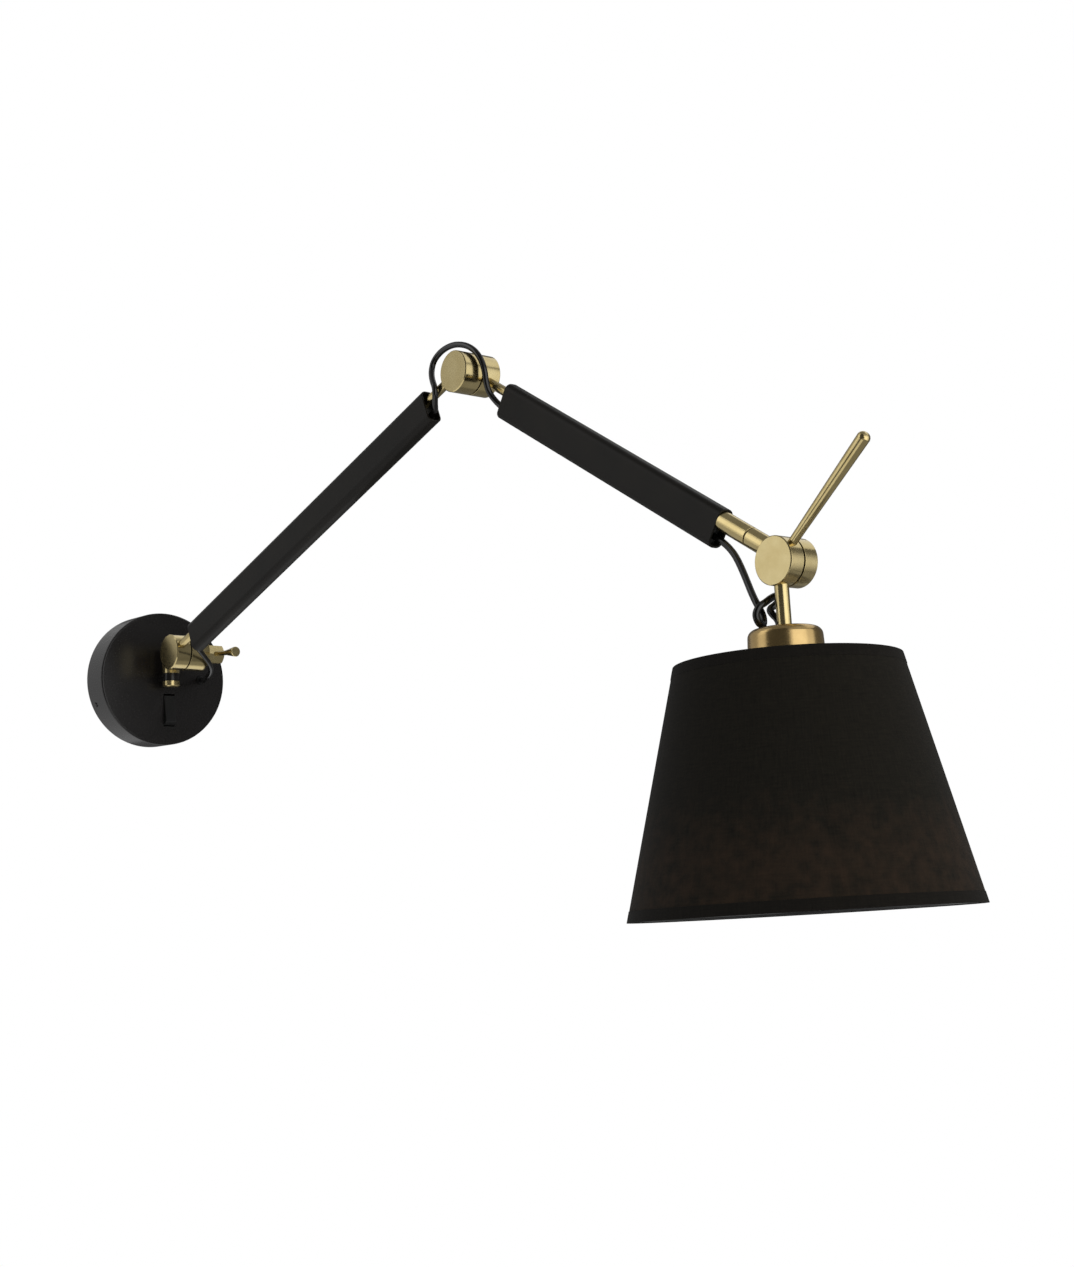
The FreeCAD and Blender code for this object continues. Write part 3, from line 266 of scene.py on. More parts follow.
# threads round the shade, mm between those across it, and how many threads long a slub is;
# contrast is the span of the pattern in which the yarn goes from dark to light; the painted glow
# of light through the cloth begins and is full these mm down it, in blotches of the given size
weave = {"warpCount": 640, "weftPitch": 0.95, "slubLength": 11, "contrast": (0.65, 1.35),
         "relief": (0.25, 0.25), "paintedGlowBlotch": 7, "paintedGlowFrom": 50, "paintedGlowFull": 115, "paintedGlowMost": 0.45}


def slubbedFabric(name, dark, light, glow):
    # plain weave of uneven slubbed yarn on a stiff backing: threads of about 1 mm show as short
    # streaks both ways, with no shine but a faint bloom at the edges; lower down the shade, light
    # coming through the cloth is painted into its colour as a warm brown glow in blotches
    material, tree, shader = newMaterial(name, dark, 0.0, 0.9, Specular_IOR_Level=0.12,
                                         Sheen_Weight=0.02, Sheen_Roughness=0.5)
    around, along = turnedMap(tree)
    warp = addNode(tree, "ShaderNodeMath", {1: weave["warpCount"]}, {0: around},
                   operation="MULTIPLY")
    weft = addNode(tree, "ShaderNodeMath", {1: 1 / (weave["weftPitch"] * mm)}, {0: along},
                   operation="MULTIPLY")
    yarns = []
    for fast, slow, axes in ((warp, weft, "XY"), (weft, warp, "YX")):
        # one set of yarns: quick change across the threads, slow change along them
        drawn = addNode(tree, "ShaderNodeMath", {1: 1 / weave["slubLength"]},
                        {0: slow.outputs[0]}, operation="MULTIPLY")
        cell = addNode(tree, "ShaderNodeCombineXYZ", links={
            axes[0]: fast.outputs[0], axes[1]: drawn.outputs[0]})
        yarns.append(addNode(tree, "ShaderNodeTexNoise",
                             {"Scale": 0.9, "Detail": 3.0, "Roughness": 0.6},
                             {"Vector": cell.outputs[0]}))
    slubs = addNode(tree, "ShaderNodeMath", links={
        0: yarns[0].outputs["Fac"], 1: yarns[1].outputs["Fac"]}, operation="ADD")
    lightShare = addNode(tree, "ShaderNodeMapRange", {
        "From Min": weave["contrast"][0], "From Max": weave["contrast"][1]},
        {"Value": slubs.outputs[0]})
    cloth = addNode(tree, "ShaderNodeMix", {"A": srgb(dark), "B": srgb(light)},
                    {0: lightShare.outputs["Result"]}, data_type="RGBA")
    # painted glow: light coming through the cloth, mixed into the base colour in blotches lower
    # down
    lower = addNode(tree, "ShaderNodeMapRange", {
        "From Min": weave["paintedGlowFrom"] * mm, "From Max": weave["paintedGlowFull"] * mm},
        {"Value": along})
    paintedGlowBlotches = addNode(tree, "ShaderNodeMath", links={
        0: objectNoise(tree, weave["paintedGlowBlotch"], 4.0).outputs["Fac"], 1: lower.outputs["Result"]},
        operation="MULTIPLY")
    glowShare = addNode(tree, "ShaderNodeMapRange", {
        "From Min": 0.25, "From Max": 0.7, "To Max": weave["paintedGlowMost"]},
        {"Value": paintedGlowBlotches.outputs[0]})
    warm = addNode(tree, "ShaderNodeMix", {"B": srgb(glow)}, {
        0: glowShare.outputs["Result"], "A": cloth.outputs[2]}, data_type="RGBA")
    tree.links.new(warm.outputs[2], shader.inputs["Base Color"])
    raised(tree, shader, slubs.outputs[0], weave["relief"])
    return material


materials = {
    "brass": turnedMetal("turnedSatinBrass", ("c6b481", "cfbe8d"), 0.19,
                         linePitch=0.3, lineStrength=0.01),
    "rodBrass": turnedMetal("drawnSatinBrass", ("c4b17d", "cdbb88"), 0.18,
                            linePitch=1.6, lineStrength=0.015),  # drawn rod: wide faint lines
    "cupBrass": turnedMetal("agedSatinBrass", ("b59a68", "c2a671"), 0.22,
                            linePitch=0.35, lineStrength=0.02),  # darker and duller with age
    "smallBrass": tumbledBrass(),
    "lacquer": canopyLacquer(),
    "powder": sleevePowder(),
    "plastic": mouldedPlastic(),
    "jacket": cableJacket(),
    "zinc": zincPlate(),
    # the fabric's last tone is a painted glow of light coming through the cloth; the hem's tones
    # are painted shade, a little darker where less light comes through, and it gets no glow
    "fabric": slubbedFabric("slubbedBlackFabric", "0d0b07", "19160f", "35261a"),
    "hem": slubbedFabric("turnedFabricHem", "0c0a07", "15120d", "15120d"),
    "lining": shadeLining(),
    "wire": wireEnamel(),
}
print("materials made:", len(materials))


def dress(node, material):
    # a finish for a piece that stays as the CAD made it
    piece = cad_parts[node]
    if not piece.data.materials:
        piece.data.materials.append(materials[material])
    for slot in piece.material_slots:
        slot.material = materials[material]


# how turned edges are softened: steps to a corner, the most of a side that a corner may take,
# and half the turn in radians under which a corner is left alone
softening = {"steps": 4, "mostOfSide": 0.45, "straight": 0.02}


def softened(corners, radius, closed):
    count, steps = len(corners), softening["steps"]
    points = [Vector(corner) for corner in corners]
    result = []
    for i, corner in enumerate(points):
        if not closed and i in (0, count - 1):
            result.append(corner)
            continue
        before = points[i - 1] - corner
        after = points[(i + 1) % count] - corner
        half = (math.pi - before.angle(after)) / 2
        if half < softening["straight"]:
            result.append(corner)
            continue
        most = min(before.length, after.length) * softening["mostOfSide"]
        setback = min(most, radius * math.tan(half))
        start = corner + before.normalized() * setback
        end = corner + after.normalized() * setback
        for step in range(steps + 1):
            t = step / steps
            result.append((1 - t) ** 2 * start + 2 * t * (1 - t) * corner + t ** 2 * end)
    return result


def finishPiece(name, work, mesh, material=None, smoothAngle=60):
    # faces outwards, smooth where they meet gently
    bmesh.ops.recalc_face_normals(work, faces=work.faces)
    work.to_mesh(mesh)
    work.free()
    obj = inScene(name, mesh)
    if material:
        mesh.materials.append(materials[material])
    for polygon in mesh.polygons:
        polygon.use_smooth = True
    mesh.set_sharp_from_angle(angle=math.radians(smoothAngle))
    weighted = obj.modifiers.new("evenNormals", "WEIGHTED_NORMAL")
    weighted.keep_sharp = True
    return obj


def lathe(name, corners, matrix, material, edge=0.3, closed=False, segments=96):
    # corners are (radius, place along the axis) in mm, softened to the radius edge; only a
    # closed profile has a wall from its last corner to its first
    profile = softened(corners, edge, closed)
    lengths = [0.0]
    for a, b in zip(profile, profile[1:] + profile[:1]):
        lengths.append(lengths[-1] + (b - a).length)
    work = bmesh.new()
    uvLayer = work.loops.layers.uv.new("turned")
    rings = []
    for point in profile:
        if point.x < 1e-6:  # on the axis, a pole
            rings.append([work.verts.new(matrix @ (Vector((0, 0, point.y)) * mm))])
            continue
        ring = []
        for step in range(segments):
            angle = 2 * math.pi * step / segments
            spot = Vector((point.x * math.cos(angle), point.x * math.sin(angle), point.y))
            ring.append(work.verts.new(matrix @ (spot * mm)))
        rings.append(ring)
    pairs = list(zip(range(len(rings)), range(1, len(rings))))
    if closed:
        pairs.append((len(rings) - 1, 0))
    for order, (low, high) in enumerate(pairs):
        first, second = rings[low], rings[high]
        if len(first) == 1 and len(second) == 1:
            continue
        for step in range(segments):
            after = (step + 1) % segments
            uStart, uEnd = step / segments, (step + 1) / segments
            vLow, vHigh = lengths[order] * mm, lengths[order + 1] * mm
            quad = [(first, step, uStart, vLow), (first, after, uEnd, vLow),
                    (second, after, uEnd, vHigh), (second, step, uStart, vHigh)]
            if len(first) == 1:  # three corners at a pole
                quad.pop(1)
            elif len(second) == 1:
                quad.pop(3)
            face = work.faces.new([ring[index % len(ring)] for ring, index, u, v in quad])
            for loop, (ring, index, u, v) in zip(face.loops, quad):
                loop[uvLayer].uv = (u, v)
    return finishPiece(name, work, bpy.data.meshes.new(name), material)


def place(obj, body, slot, *nodes):
    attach(obj, body)
    if nodes:
        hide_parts(*nodes)
    return obj


# barrel joints in mm: split is half the gap between two halves, the lengths are each half's
# own, headSeat and seatDepth sink the screw's head, and shoulderSplit puts that gap off middle
barrel = {"radius": 14.5, "split": 0.6, "rim": 0.6, "edge": 0.22, "bore": 3.1,
          "headSeat": 5.1, "seatDepth": 2.95, "half": 14.8, "wristHalf": 10.8,
          "shoulderSplit": -2.1, "shoulderRight": 16.9, "shoulderLeft": 12.7}


def barrelHalf(name, matrix, side, length, kind):
    # one half of a joint, from the split to its outer face: blind, bored through for the axle,
    # or bored and sunk for the screw's head
    radius, start, rim = barrel["radius"], barrel["split"], barrel["rim"]
    end = start + length
    inner = 0 if kind == "blind" else barrel["bore"]
    profile = [(inner, start), (radius, start), (radius, end - rim), (radius - rim, end)]
    if kind == "sunk":
        floor = end - barrel["seatDepth"]
        profile += [(barrel["headSeat"], end), (barrel["headSeat"], floor), (inner, floor)]
    else:
        profile.append((inner, end))
    profile = [(reach, side * row) for reach, row in profile]
    return lathe(name, profile, aboutY(matrix), "brass", barrel["edge"], kind != "blind")


# each half's frame, side, length, kind, body and CAD node
shoulderShift = barrel["shoulderSplit"]
barrelHalves = {
    "shoulderBarrelRight": (shifted(shoulderFrame, 0, shoulderShift, 0), 1, "shoulderRight",
                            "bored", "swivel", "shoulder_half_fixed"),
    "shoulderBarrelLeft": (shifted(lowerFrame, 0, shoulderShift, 0), -1, "shoulderLeft",
                           "blind", "lower_arm", "shoulder_half_arm"),
    "elbowBarrelLeft": (lowerEnd, -1, "half", "blind", "lower_arm", "elbow_half_lower"),
    "elbowBarrelRight": (upperFrame, 1, "half", "sunk", "upper_arm", "elbow_half_upper"),
    "wristBarrelRight": (upperEnd, 1, "wristHalf", "sunk", "wrist", "wrist_half_fixed"),
    "wristBarrelLeft": (headFrame, -1, "wristHalf", "blind", "head", "wrist_half_head"),
}
for name, (matrix, side, length, kind, body, node) in barrelHalves.items():
    place(barrelHalf(name, matrix, side, barrel[length], kind), body, "brass", node)
print("barrels turned")

# rods, and the twist joint on the upper one: mm along each, the collar's counted from the wrist
rod = {"radius": 3.25, "start": 8.1, "lowerEnd": 409.9, "upperEnd": 307, "stemRadius": 4.25,
       "stemEnd": 49.9}
twist = {"bore": 3.3, "radius": 6.25, "socketStart": 270, "socketEnd": 295.1, "neck": 4,
         "collarStart": -38.1, "boreEnd": -26.4, "collarEnd": -15, "neckEnd": -8.1}


def straightRun(bore, radius, start, end):
    # a plain bar, or a tube where it has a bore
    return [(bore, start), (radius, start), (radius, end), (bore, end)]


for name, end, matrix, body, node in (
        ("lowerRod", rod["lowerEnd"], lowerRodFrame, "lower_arm", "lower_rod"),
        ("upperRod", rod["upperEnd"], upperRodFrame, "upper_arm", "upper_rod")):
    place(lathe(name, straightRun(0, rod["radius"], rod["start"], end), matrix, "rodBrass",
                segments=48), body, "brass", node)
socketRun = straightRun(twist["bore"], twist["radius"], twist["socketStart"], twist["socketEnd"])
place(lathe("twistSocket", socketRun, upperRodFrame, "rodBrass", edge=0.4, closed=True),
      "upper_arm", "brass", "twist_socket")
# the collar's bore has no wall of its own: the rod fills it
collarProfile = [
    (twist["bore"], twist["collarStart"]), (twist["radius"], twist["collarStart"]),
    (twist["radius"], twist["collarEnd"]), (twist["neck"], twist["collarEnd"]),
    (twist["neck"], twist["neckEnd"]), (0, twist["neckEnd"]), (0, twist["boreEnd"]),
    (twist["bore"], twist["boreEnd"])]
collarFrame = aboutX(shifted(upperEnd, 0, rodAside["upper"], 0))
place(lathe("twistCollar", collarProfile, collarFrame, "rodBrass", edge=0.4), "wrist", "brass",
      "twist_collar")
place(lathe("headStem", straightRun(0, rod["stemRadius"], rod["start"], rod["stemEnd"]),
            stemFrame, "rodBrass"), "head", "brass", "stem")

# the handle widens from its root to a rounded tip; its angle is from the stem
handle = {"angle": 129.5, "start": 8.1, "coneStart": 15, "root": 2.7, "tip": 3.95,
          "length": 92.3, "rounding": 3.4, "roundSteps": 6}


def handleProfile():
    coneEnd = handle["length"] - handle["rounding"]
    corners = [(0, handle["start"]), (handle["root"], handle["start"]),
               (handle["root"], handle["coneStart"]), (handle["tip"], coneEnd)]
    for step in range(1, handle["roundSteps"] + 1):
        angle = math.radians(90 * step / handle["roundSteps"])
        corners.append((handle["tip"] - handle["rounding"] * (1 - math.cos(angle)),
                        coneEnd + handle["rounding"] * math.sin(angle)))
    return corners + [(0, handle["length"])]


handleTurn = Matrix.Rotation(math.radians(-handle["angle"]), 4, "Y")
handleFrame = aboutX(shifted(headFrame @ handleTurn, 0, rodAside["stem"], 0))
place(lathe("aimHandle", handleProfile(), handleFrame, "rodBrass", edge=0.1, segments=48),
      "head", "brass", "aim_handle")

# the lock's lever, leaning a little down, on the hub beside the shoulder
lever = {"aside": 24.9, "lean": 2, "start": 4.3, "length": 39.4, "neck": 2, "flare": 4.2,
         "flareStart": 24, "bevelWidth": 0.4, "bevelLength": 0.8}
leverTurn = Matrix.Rotation(math.radians(lever["lean"]), 4, "Y")
leverFrame = aboutX(shifted(shoulderFrame @ leverTurn, 0, lever["aside"], 0))
leverProfile = [
    (0, lever["start"]), (lever["neck"], lever["start"]), (lever["neck"], lever["flareStart"]),
    (lever["flare"], lever["length"] - lever["bevelLength"]),
    (lever["flare"] - lever["bevelWidth"], lever["length"]), (0, lever["length"])]
place(lathe("lockLever", leverProfile, leverFrame, "brass", edge=0.4, segments=48),
      "lock_knob", "brass", "knob_lever")

# the cup over the lampholder: a rounded top, a slight cone and a straight skirt
cup = {"top": 39, "wall": 1.2, "height": 23, "cone": 19, "topRadius": 21.6, "radius": 22.3,
       "round": 5, "roundSteps": 8, "hole": 4.3}


def cupProfile():
    topAt, r, edge = cup["top"], cup["topRadius"], cup["round"]
    outer = [(cup["hole"], topAt)]
    for step in range(cup["roundSteps"] + 1):
        angle = math.radians(90 * step / cup["roundSteps"])
        outer.append((r - edge + edge * math.sin(angle), topAt + edge - edge * math.cos(angle)))
    outer += [(cup["radius"], topAt + cup["cone"]), (cup["radius"], topAt + cup["height"])]
    inner = [(x - cup["wall"], max(y, topAt + cup["wall"])) for x, y in outer[2:]][::-1]
    return outer + inner + [(cup["hole"], topAt + cup["wall"])]


place(lathe("holderCup", cupProfile(), stemFrame, "cupBrass", edge=0.25, closed=True), "head",
      "aged_brass", "cup")
print("rods, handle and cup turned")


# pieces that follow a rule grow from geometry trees whose sizes are named inputs
def growTree(name, sizes):
    # sizes that are whole numbers are counts, and the rest are mm
    tree = bpy.data.node_groups.new(name, "GeometryNodeTree")
    for label, value in sizes.items():
        kind = "NodeSocketInt" if isinstance(value, int) else "NodeSocketFloat"
        tree.interface.new_socket(label, in_out="INPUT", socket_type=kind)
    tree.interface.new_socket("Geometry", in_out="OUTPUT", socket_type="NodeSocketGeometry")
    return tree, addNode(tree, "NodeGroupInput").outputs


def endTree(tree, shapes, material):
    # all the shapes together, made real and given their finish
    joined = addNode(tree, "GeometryNodeJoinGeometry")
    for shape in shapes:
        tree.links.new(shape, joined.inputs["Geometry"])
    real = addNode(tree, "GeometryNodeRealizeInstances", links={
        "Geometry": joined.outputs["Geometry"]})
    finished = addNode(tree, "GeometryNodeSetMaterial", {"Material": materials[material]},
                       {"Geometry": real.outputs["Geometry"]})
    addNode(tree, "NodeGroupOutput", links={"Geometry": finished.outputs["Geometry"]})
    return tree


def ringOf(tree, shape, count):
    # the shape repeated evenly about the axis
    spotsRound = addNode(tree, "GeometryNodePoints", links={"Count": count})
    order = addNode(tree, "GeometryNodeInputIndex")
    share = addNode(tree, "ShaderNodeMath", {0: 2 * math.pi}, {1: count}, operation="DIVIDE")
    angle = addNode(tree, "ShaderNodeMath", links={0: order.outputs[0], 1: share.outputs[0]},
                    operation="MULTIPLY")
    turned = addNode(tree, "ShaderNodeCombineXYZ", links={"Z": angle.outputs[0]})
    copies = addNode(tree, "GeometryNodeInstanceOnPoints", links={
        "Points": spotsRound.outputs[0], "Instance": shape, "Rotation": turned.outputs[0]})
    return copies.outputs["Instances"]


def roundedFrame(tree, width, height, corner, steps):
    # a rectangle with rounded corners
    frameCurve = addNode(tree, "GeometryNodeCurvePrimitiveQuadrilateral",
                         links={"Width": width, "Height": height})
    rounded = addNode(tree, "GeometryNodeFilletCurve", {"Count": steps, "Limit Radius": True},
                      {"Curve": frameCurve.outputs[0], "Radius": corner}, mode="POLY")
    return rounded.outputs[0]


def grown(name, tree, sizes, matrix):
    # the tree runs once and its result is kept as a plain mesh
    holder = inScene(name + "Holder", bpy.data.meshes.new(name + "Holder"))
    modifier = holder.modifiers.new("grow", "NODES")
    modifier.node_group = tree
    for item in tree.interface.items_tree:
        if item.in_out == "INPUT":
            value = sizes[item.name]
            modifier[item.identifier] = value if isinstance(value, int) else value * mm
    holder.update_tag()
    evaluated = holder.evaluated_get(bpy.context.evaluated_depsgraph_get())
    mesh = bpy.data.meshes.new_from_object(evaluated)
    holder.modifiers.remove(modifier)
    bpy.data.objects.remove(holder)
    mesh.name = name
    mesh.transform(matrix)
    work = bmesh.new()
    work.from_mesh(mesh)
    bmesh.ops.remove_doubles(work, verts=work.verts, dist=0.001 * mm)
    return finishPiece(name, work, mesh, smoothAngle=50)


# the arm sleeves: the wall's own section swept round a rounded rectangle, open at both ends;
# their middle lies below the rod's axis by drop, and each runs between two places along it
sleeve = {"Height": 25.0, "Width": 12.0, "Corner": 4.6, "Wall": 1.4, "Rim": 0.35}
sleeveRuns = {"drop": 5, "lower": (36, 382), "upper": (40, 270)}


def sleeveTree():
    tree, sizes = growTree("drawnSleeve", dict(sleeve, Length=0.0))
    tall, wide = [addNode(tree, "ShaderNodeMath", links={0: sizes[label], 1: sizes["Wall"]},
                          operation="SUBTRACT") for label in ("Height", "Width")]
    halfWall = addNode(tree, "ShaderNodeMath", {1: 2}, {0: sizes["Wall"]}, operation="DIVIDE")
    bend = addNode(tree, "ShaderNodeMath", operation="SUBTRACT", links={
        0: sizes["Corner"], 1: halfWall.outputs[0]})
    section = roundedFrame(tree, tall.outputs[0], wide.outputs[0], bend.outputs[0], 8)
    wall = roundedFrame(tree, sizes["Wall"], sizes["Length"], sizes["Rim"], 3)
    drawn = addNode(tree, "GeometryNodeCurveToMesh", links={
        "Curve": section, "Profile Curve": wall})
    return endTree(tree, [drawn.outputs["Mesh"]], "powder")


drawnSleeve = sleeveTree()
for side, matrix, body in (("lower", lowerRodFrame, "lower_arm"),
                           ("upper", upperRodFrame, "upper_arm")):
    start, end = sleeveRuns[side]
    tubePiece = grown(side + "Sleeve", drawnSleeve, dict(sleeve, Length=float(end - start)),
                      shifted(matrix, sleeveRuns["drop"], 0, (start + end) / 2))
    place(tubePiece, body, "black_metal", side + "_sleeve")
print("sleeves drawn")

# shade: stiff fabric shell with turned hems, pale lining inside; rows are mm down the stem
shade = {"top": 58, "bottom": 200, "topRadius": 65, "bottomRadius": 100, "cloth": 0.6,
         "lining": 0.35, "glue": 0.02, "liningShort": 6, "hem": 6.5, "hemProud": 0.25,
         "clothShort": 0.1}
shadeSlope = (shade["bottomRadius"] - shade["topRadius"]) / (shade["bottom"] - shade["top"])


def shadeRadius(row):
    return shade["topRadius"] + (row - shade["top"]) * shadeSlope


def coneBand(first, last, inset, steps):
    # points down the cone, inset from its outer surface
    rows = [first + (last - first) * i / steps for i in range(steps + 1)]
    return [(shadeRadius(row) - inset, row) for row in rows]


def layer(first, last, outer, inner, outerSteps, innerSteps):
    # down its outer side and back up its inner one
    return coneBand(first, last, outer, outerSteps) + coneBand(last, first, inner, innerSteps)


top, bottom, hem, cloth = shade["top"], shade["bottom"], shade["hem"], shade["cloth"]
clothShort, liningShort = shade["clothShort"], shade["liningShort"]
backed, proud = cloth + shade["lining"], -shade["hemProud"]
# each layer's profile, finish, softened edge and segments
layers = {
    "shadeCloth": (layer(top + clothShort, bottom - clothShort, 0, cloth, 30, 12), "fabric",
                   0.1, 256),
    # the cloth turned over each ring and glued down, a second layer painted darker as shade,
    # where less light comes through it
    "topHem": (layer(top, top + hem, proud, backed, 4, 4), "hem", 0.2, 256),
    "bottomHem": (layer(bottom - hem, bottom, proud, backed, 4, 4), "hem", 0.2, 256),
    "shadeLining": (layer(top + liningShort, bottom - liningShort, cloth + shade["glue"],
                          backed, 8, 8), "lining", 0.05, 128),
}
for name, (profile, finish, edge, segments) in layers.items():
    place(lathe(name, profile, stemFrame, finish, edge, True, segments), "head",
          "shade_fabric", "shade_shell")
print("shade made")

# shade fitting: a flat hub clamped by the ring nut, three wire arms and two wire rings, each a
# little in from the shade's edge and inset from its outer surface
wireRing = {"fromEdge": 2.0, "inset": 2.596}
upperRow, lowerRow = top + wireRing["fromEdge"], bottom - wireRing["fromEdge"]
fitting = {"Ring Radius": shadeRadius(upperRow) - wireRing["inset"], "Ring Height": upperRow,
           "Hub Radius": 26.5, "Hub Height": 69.75, "Wire Radius": 1.5, "Arm Radius": 1.42,
           "Arms": 3}
lowerRing = {"Ring Radius": shadeRadius(lowerRow) - wireRing["inset"],
             "Ring Height": lowerRow, "Arms": 0}
hub = {"bore": 19.7, "radius": 28, "start": 69, "thick": 1.5, "turn": 30}


def fittingTree():
    tree, sizes = growTree("shadeFitting", fitting)
    circles = {}
    for label, sides in (("Wire Radius", 14), ("Arm Radius", 14), ("Ring Radius", 144)):
        circle = addNode(tree, "GeometryNodeCurvePrimitiveCircle", {"Resolution": sides},
                         {"Radius": sizes[label]})
        circles[label] = circle.outputs["Curve"]
    wire = addNode(tree, "GeometryNodeCurveToMesh", links={
        "Curve": circles["Ring Radius"], "Profile Curve": circles["Wire Radius"]})
    lift = addNode(tree, "ShaderNodeCombineXYZ", links={"Z": sizes["Ring Height"]})
    ring = addNode(tree, "GeometryNodeTransform", links={
        "Geometry": wire.outputs["Mesh"], "Translation": lift.outputs[0]})
    inner, outer = [addNode(tree, "ShaderNodeCombineXYZ", links={
        "X": sizes[end + " Radius"], "Z": sizes[end + " Height"]}) for end in ("Hub", "Ring")]
    line = addNode(tree, "GeometryNodeCurvePrimitiveLine", links={
        "Start": inner.outputs[0], "End": outer.outputs[0]})
    arm = addNode(tree, "GeometryNodeCurveToMesh", {"Fill Caps": True}, {
        "Curve": line.outputs[0], "Profile Curve": circles["Arm Radius"]})
    arms = ringOf(tree, arm.outputs["Mesh"], sizes["Arms"])
    return endTree(tree, [ring.outputs["Geometry"], arms], "wire")


shadeFitting = fittingTree()
armTurn = Matrix.Rotation(math.radians(hub["turn"]), 4, "Z")
place(grown("carrierWires", shadeFitting, fitting, stemFrame @ armTurn), "head", "shade_wire",
      "shade_carrier")
place(grown("bottomRingWire", shadeFitting, dict(fitting, **lowerRing), stemFrame), "head",
      "shade_wire", "shade_bottom_ring")
hubRun = straightRun(hub["bore"], hub["radius"], hub["start"], hub["start"] + hub["thick"])
place(lathe("carrierHub", hubRun, stemFrame, "wire", closed=True), "head", "shade_wire",
      "shade_carrier")

# grip ribs round the ring nut's neck
ribs = {"Radius": 22.6, "Depth": 0.9, "Width": 1.3, "Height": 3.2, "Rise": 75.1, "Count": 24}


def ribTree():
    tree, sizes = growTree("gripRibs", ribs)
    block = addNode(tree, "ShaderNodeCombineXYZ", links={
        "X": sizes["Depth"], "Y": sizes["Width"], "Z": sizes["Height"]})
    rib = addNode(tree, "GeometryNodeMeshCube", links={"Size": block.outputs[0]})
    spot = addNode(tree, "ShaderNodeCombineXYZ", links={
        "X": sizes["Radius"], "Z": sizes["Rise"]})
    moved = addNode(tree, "GeometryNodeTransform", links={
        "Geometry": rib.outputs["Mesh"], "Translation": spot.outputs[0]})
    return endTree(tree, [ringOf(tree, moved.outputs["Geometry"], sizes["Count"])], "plastic")


place(grown("ringNutRibs", ribTree(), ribs, stemFrame), "head", "black_plastic")

# rolled screw thread inside the lampholder's shell
thread = {"Radius": 13.5, "Run": 24.0, "Wire": 0.45, "Turns": 7}
threadStart = 69  # mm down the stem


def threadTree():
    tree, sizes = growTree("lampThread", thread)
    path = addNode(tree, "GeometryNodeCurveSpiral", {"Resolution": 48}, {
        "Rotations": sizes["Turns"], "Start Radius": sizes["Radius"],
        "End Radius": sizes["Radius"], "Height": sizes["Run"]})
    section = addNode(tree, "GeometryNodeCurvePrimitiveCircle", {"Resolution": 8},
                      {"Radius": sizes["Wire"]})
    ridge = addNode(tree, "GeometryNodeCurveToMesh", {"Fill Caps": True}, {
        "Curve": path.outputs["Curve"], "Profile Curve": section.outputs["Curve"]})
    return endTree(tree, [ridge.outputs["Mesh"]], "smallBrass")


place(grown("lampThread", threadTree(), thread, shifted(stemFrame, 0, 0, threadStart)),
      "head", "brass")
print("shade fitting, ribs and thread grown")

# the cable in one run from the canopy to the lampholder, routes given as (across, outwards, up)
# in mm from each joint; along a rod it lies below the axis by drop, its lengths meet inside
# the sleeves, joint from the ends, and it comes out straight as far as mouth
cable = {"radius": 2.1, "drop": 11, "mouth": 3, "joint": 5, "sides": 20, "closest": 0.2}


def spots(matrix, rows):
    return [matrix @ (Vector((outwards, side, up)) * mm) for side, outwards, up in rows]


def onArm(matrix, *distances):
    return [matrix @ (Vector((cable["drop"], 0, distance)) * mm) for distance in distances]


def routeLine(name, points):
    # the smooth line that a tube follows
    curve = bpy.data.curves.new(name + "Line", "CURVE")
    curve.dimensions = "3D"
    curve.resolution_u = 10
    spline = curve.splines.new("NURBS")
    spline.points.add(len(points) - 1)
    for point, spot in zip(spline.points, points):
        point.co = (*spot, 1)
    spline.order_u = 3
    spline.use_endpoint_u = True
    holder = inScene(name + "Line", curve)
    mesh = bpy.data.meshes.new_from_object(holder)
    line = [vertex.co.copy() for vertex in mesh.vertices]
    bpy.data.objects.remove(holder)
    bpy.data.curves.remove(curve)
    bpy.data.meshes.remove(mesh)
    if (line[0] - points[0]).length > (line[-1] - points[0]).length:
        line.reverse()
    return line


def tube(name, line):
    # rings of points along the line, each turned on from the last so that nothing twists
    radius, sides = cable["radius"] * mm, cable["sides"]
    kept = [line[0]]
    for spot in line[1:]:
        if (spot - kept[-1]).length > cable["closest"] * mm:
            kept.append(spot)
    work = bmesh.new()
    uvLayer = work.loops.layers.uv.new("turned")
    normal = None
    rings = []
    run = [0.0]
    for index, spot in enumerate(kept):
        before = kept[max(index - 1, 0)]
        after = kept[min(index + 1, len(kept) - 1)]
        tangent = (after - before).normalized()
        if normal is None:
            normal = tangent.orthogonal().normalized()
        normal = (normal - tangent * normal.dot(tangent)).normalized()
        aside = tangent.cross(normal)
        if index:
            run.append(run[-1] + (spot - before).length)
        ring = []
        for side in range(sides):
            angle = 2 * math.pi * side / sides
            ring.append(work.verts.new(
                spot + radius * (normal * math.cos(angle) + aside * math.sin(angle))))
        rings.append(ring)
    for low, (first, second) in enumerate(zip(rings, rings[1:])):
        for side in range(sides):
            after = (side + 1) % sides
            face = work.faces.new((first[side], first[after], second[after], second[side]))
            corners = ((side, low), (side + 1, low), (side + 1, low + 1), (side, low + 1))
            for loop, (column, row) in zip(face.loops, corners):
                loop[uvLayer].uv = (column / sides, run[row])
    work.faces.new(rings[0][::-1])
    work.faces.new(rings[-1])
    return finishPiece(name, work, bpy.data.meshes.new(name), "jacket")


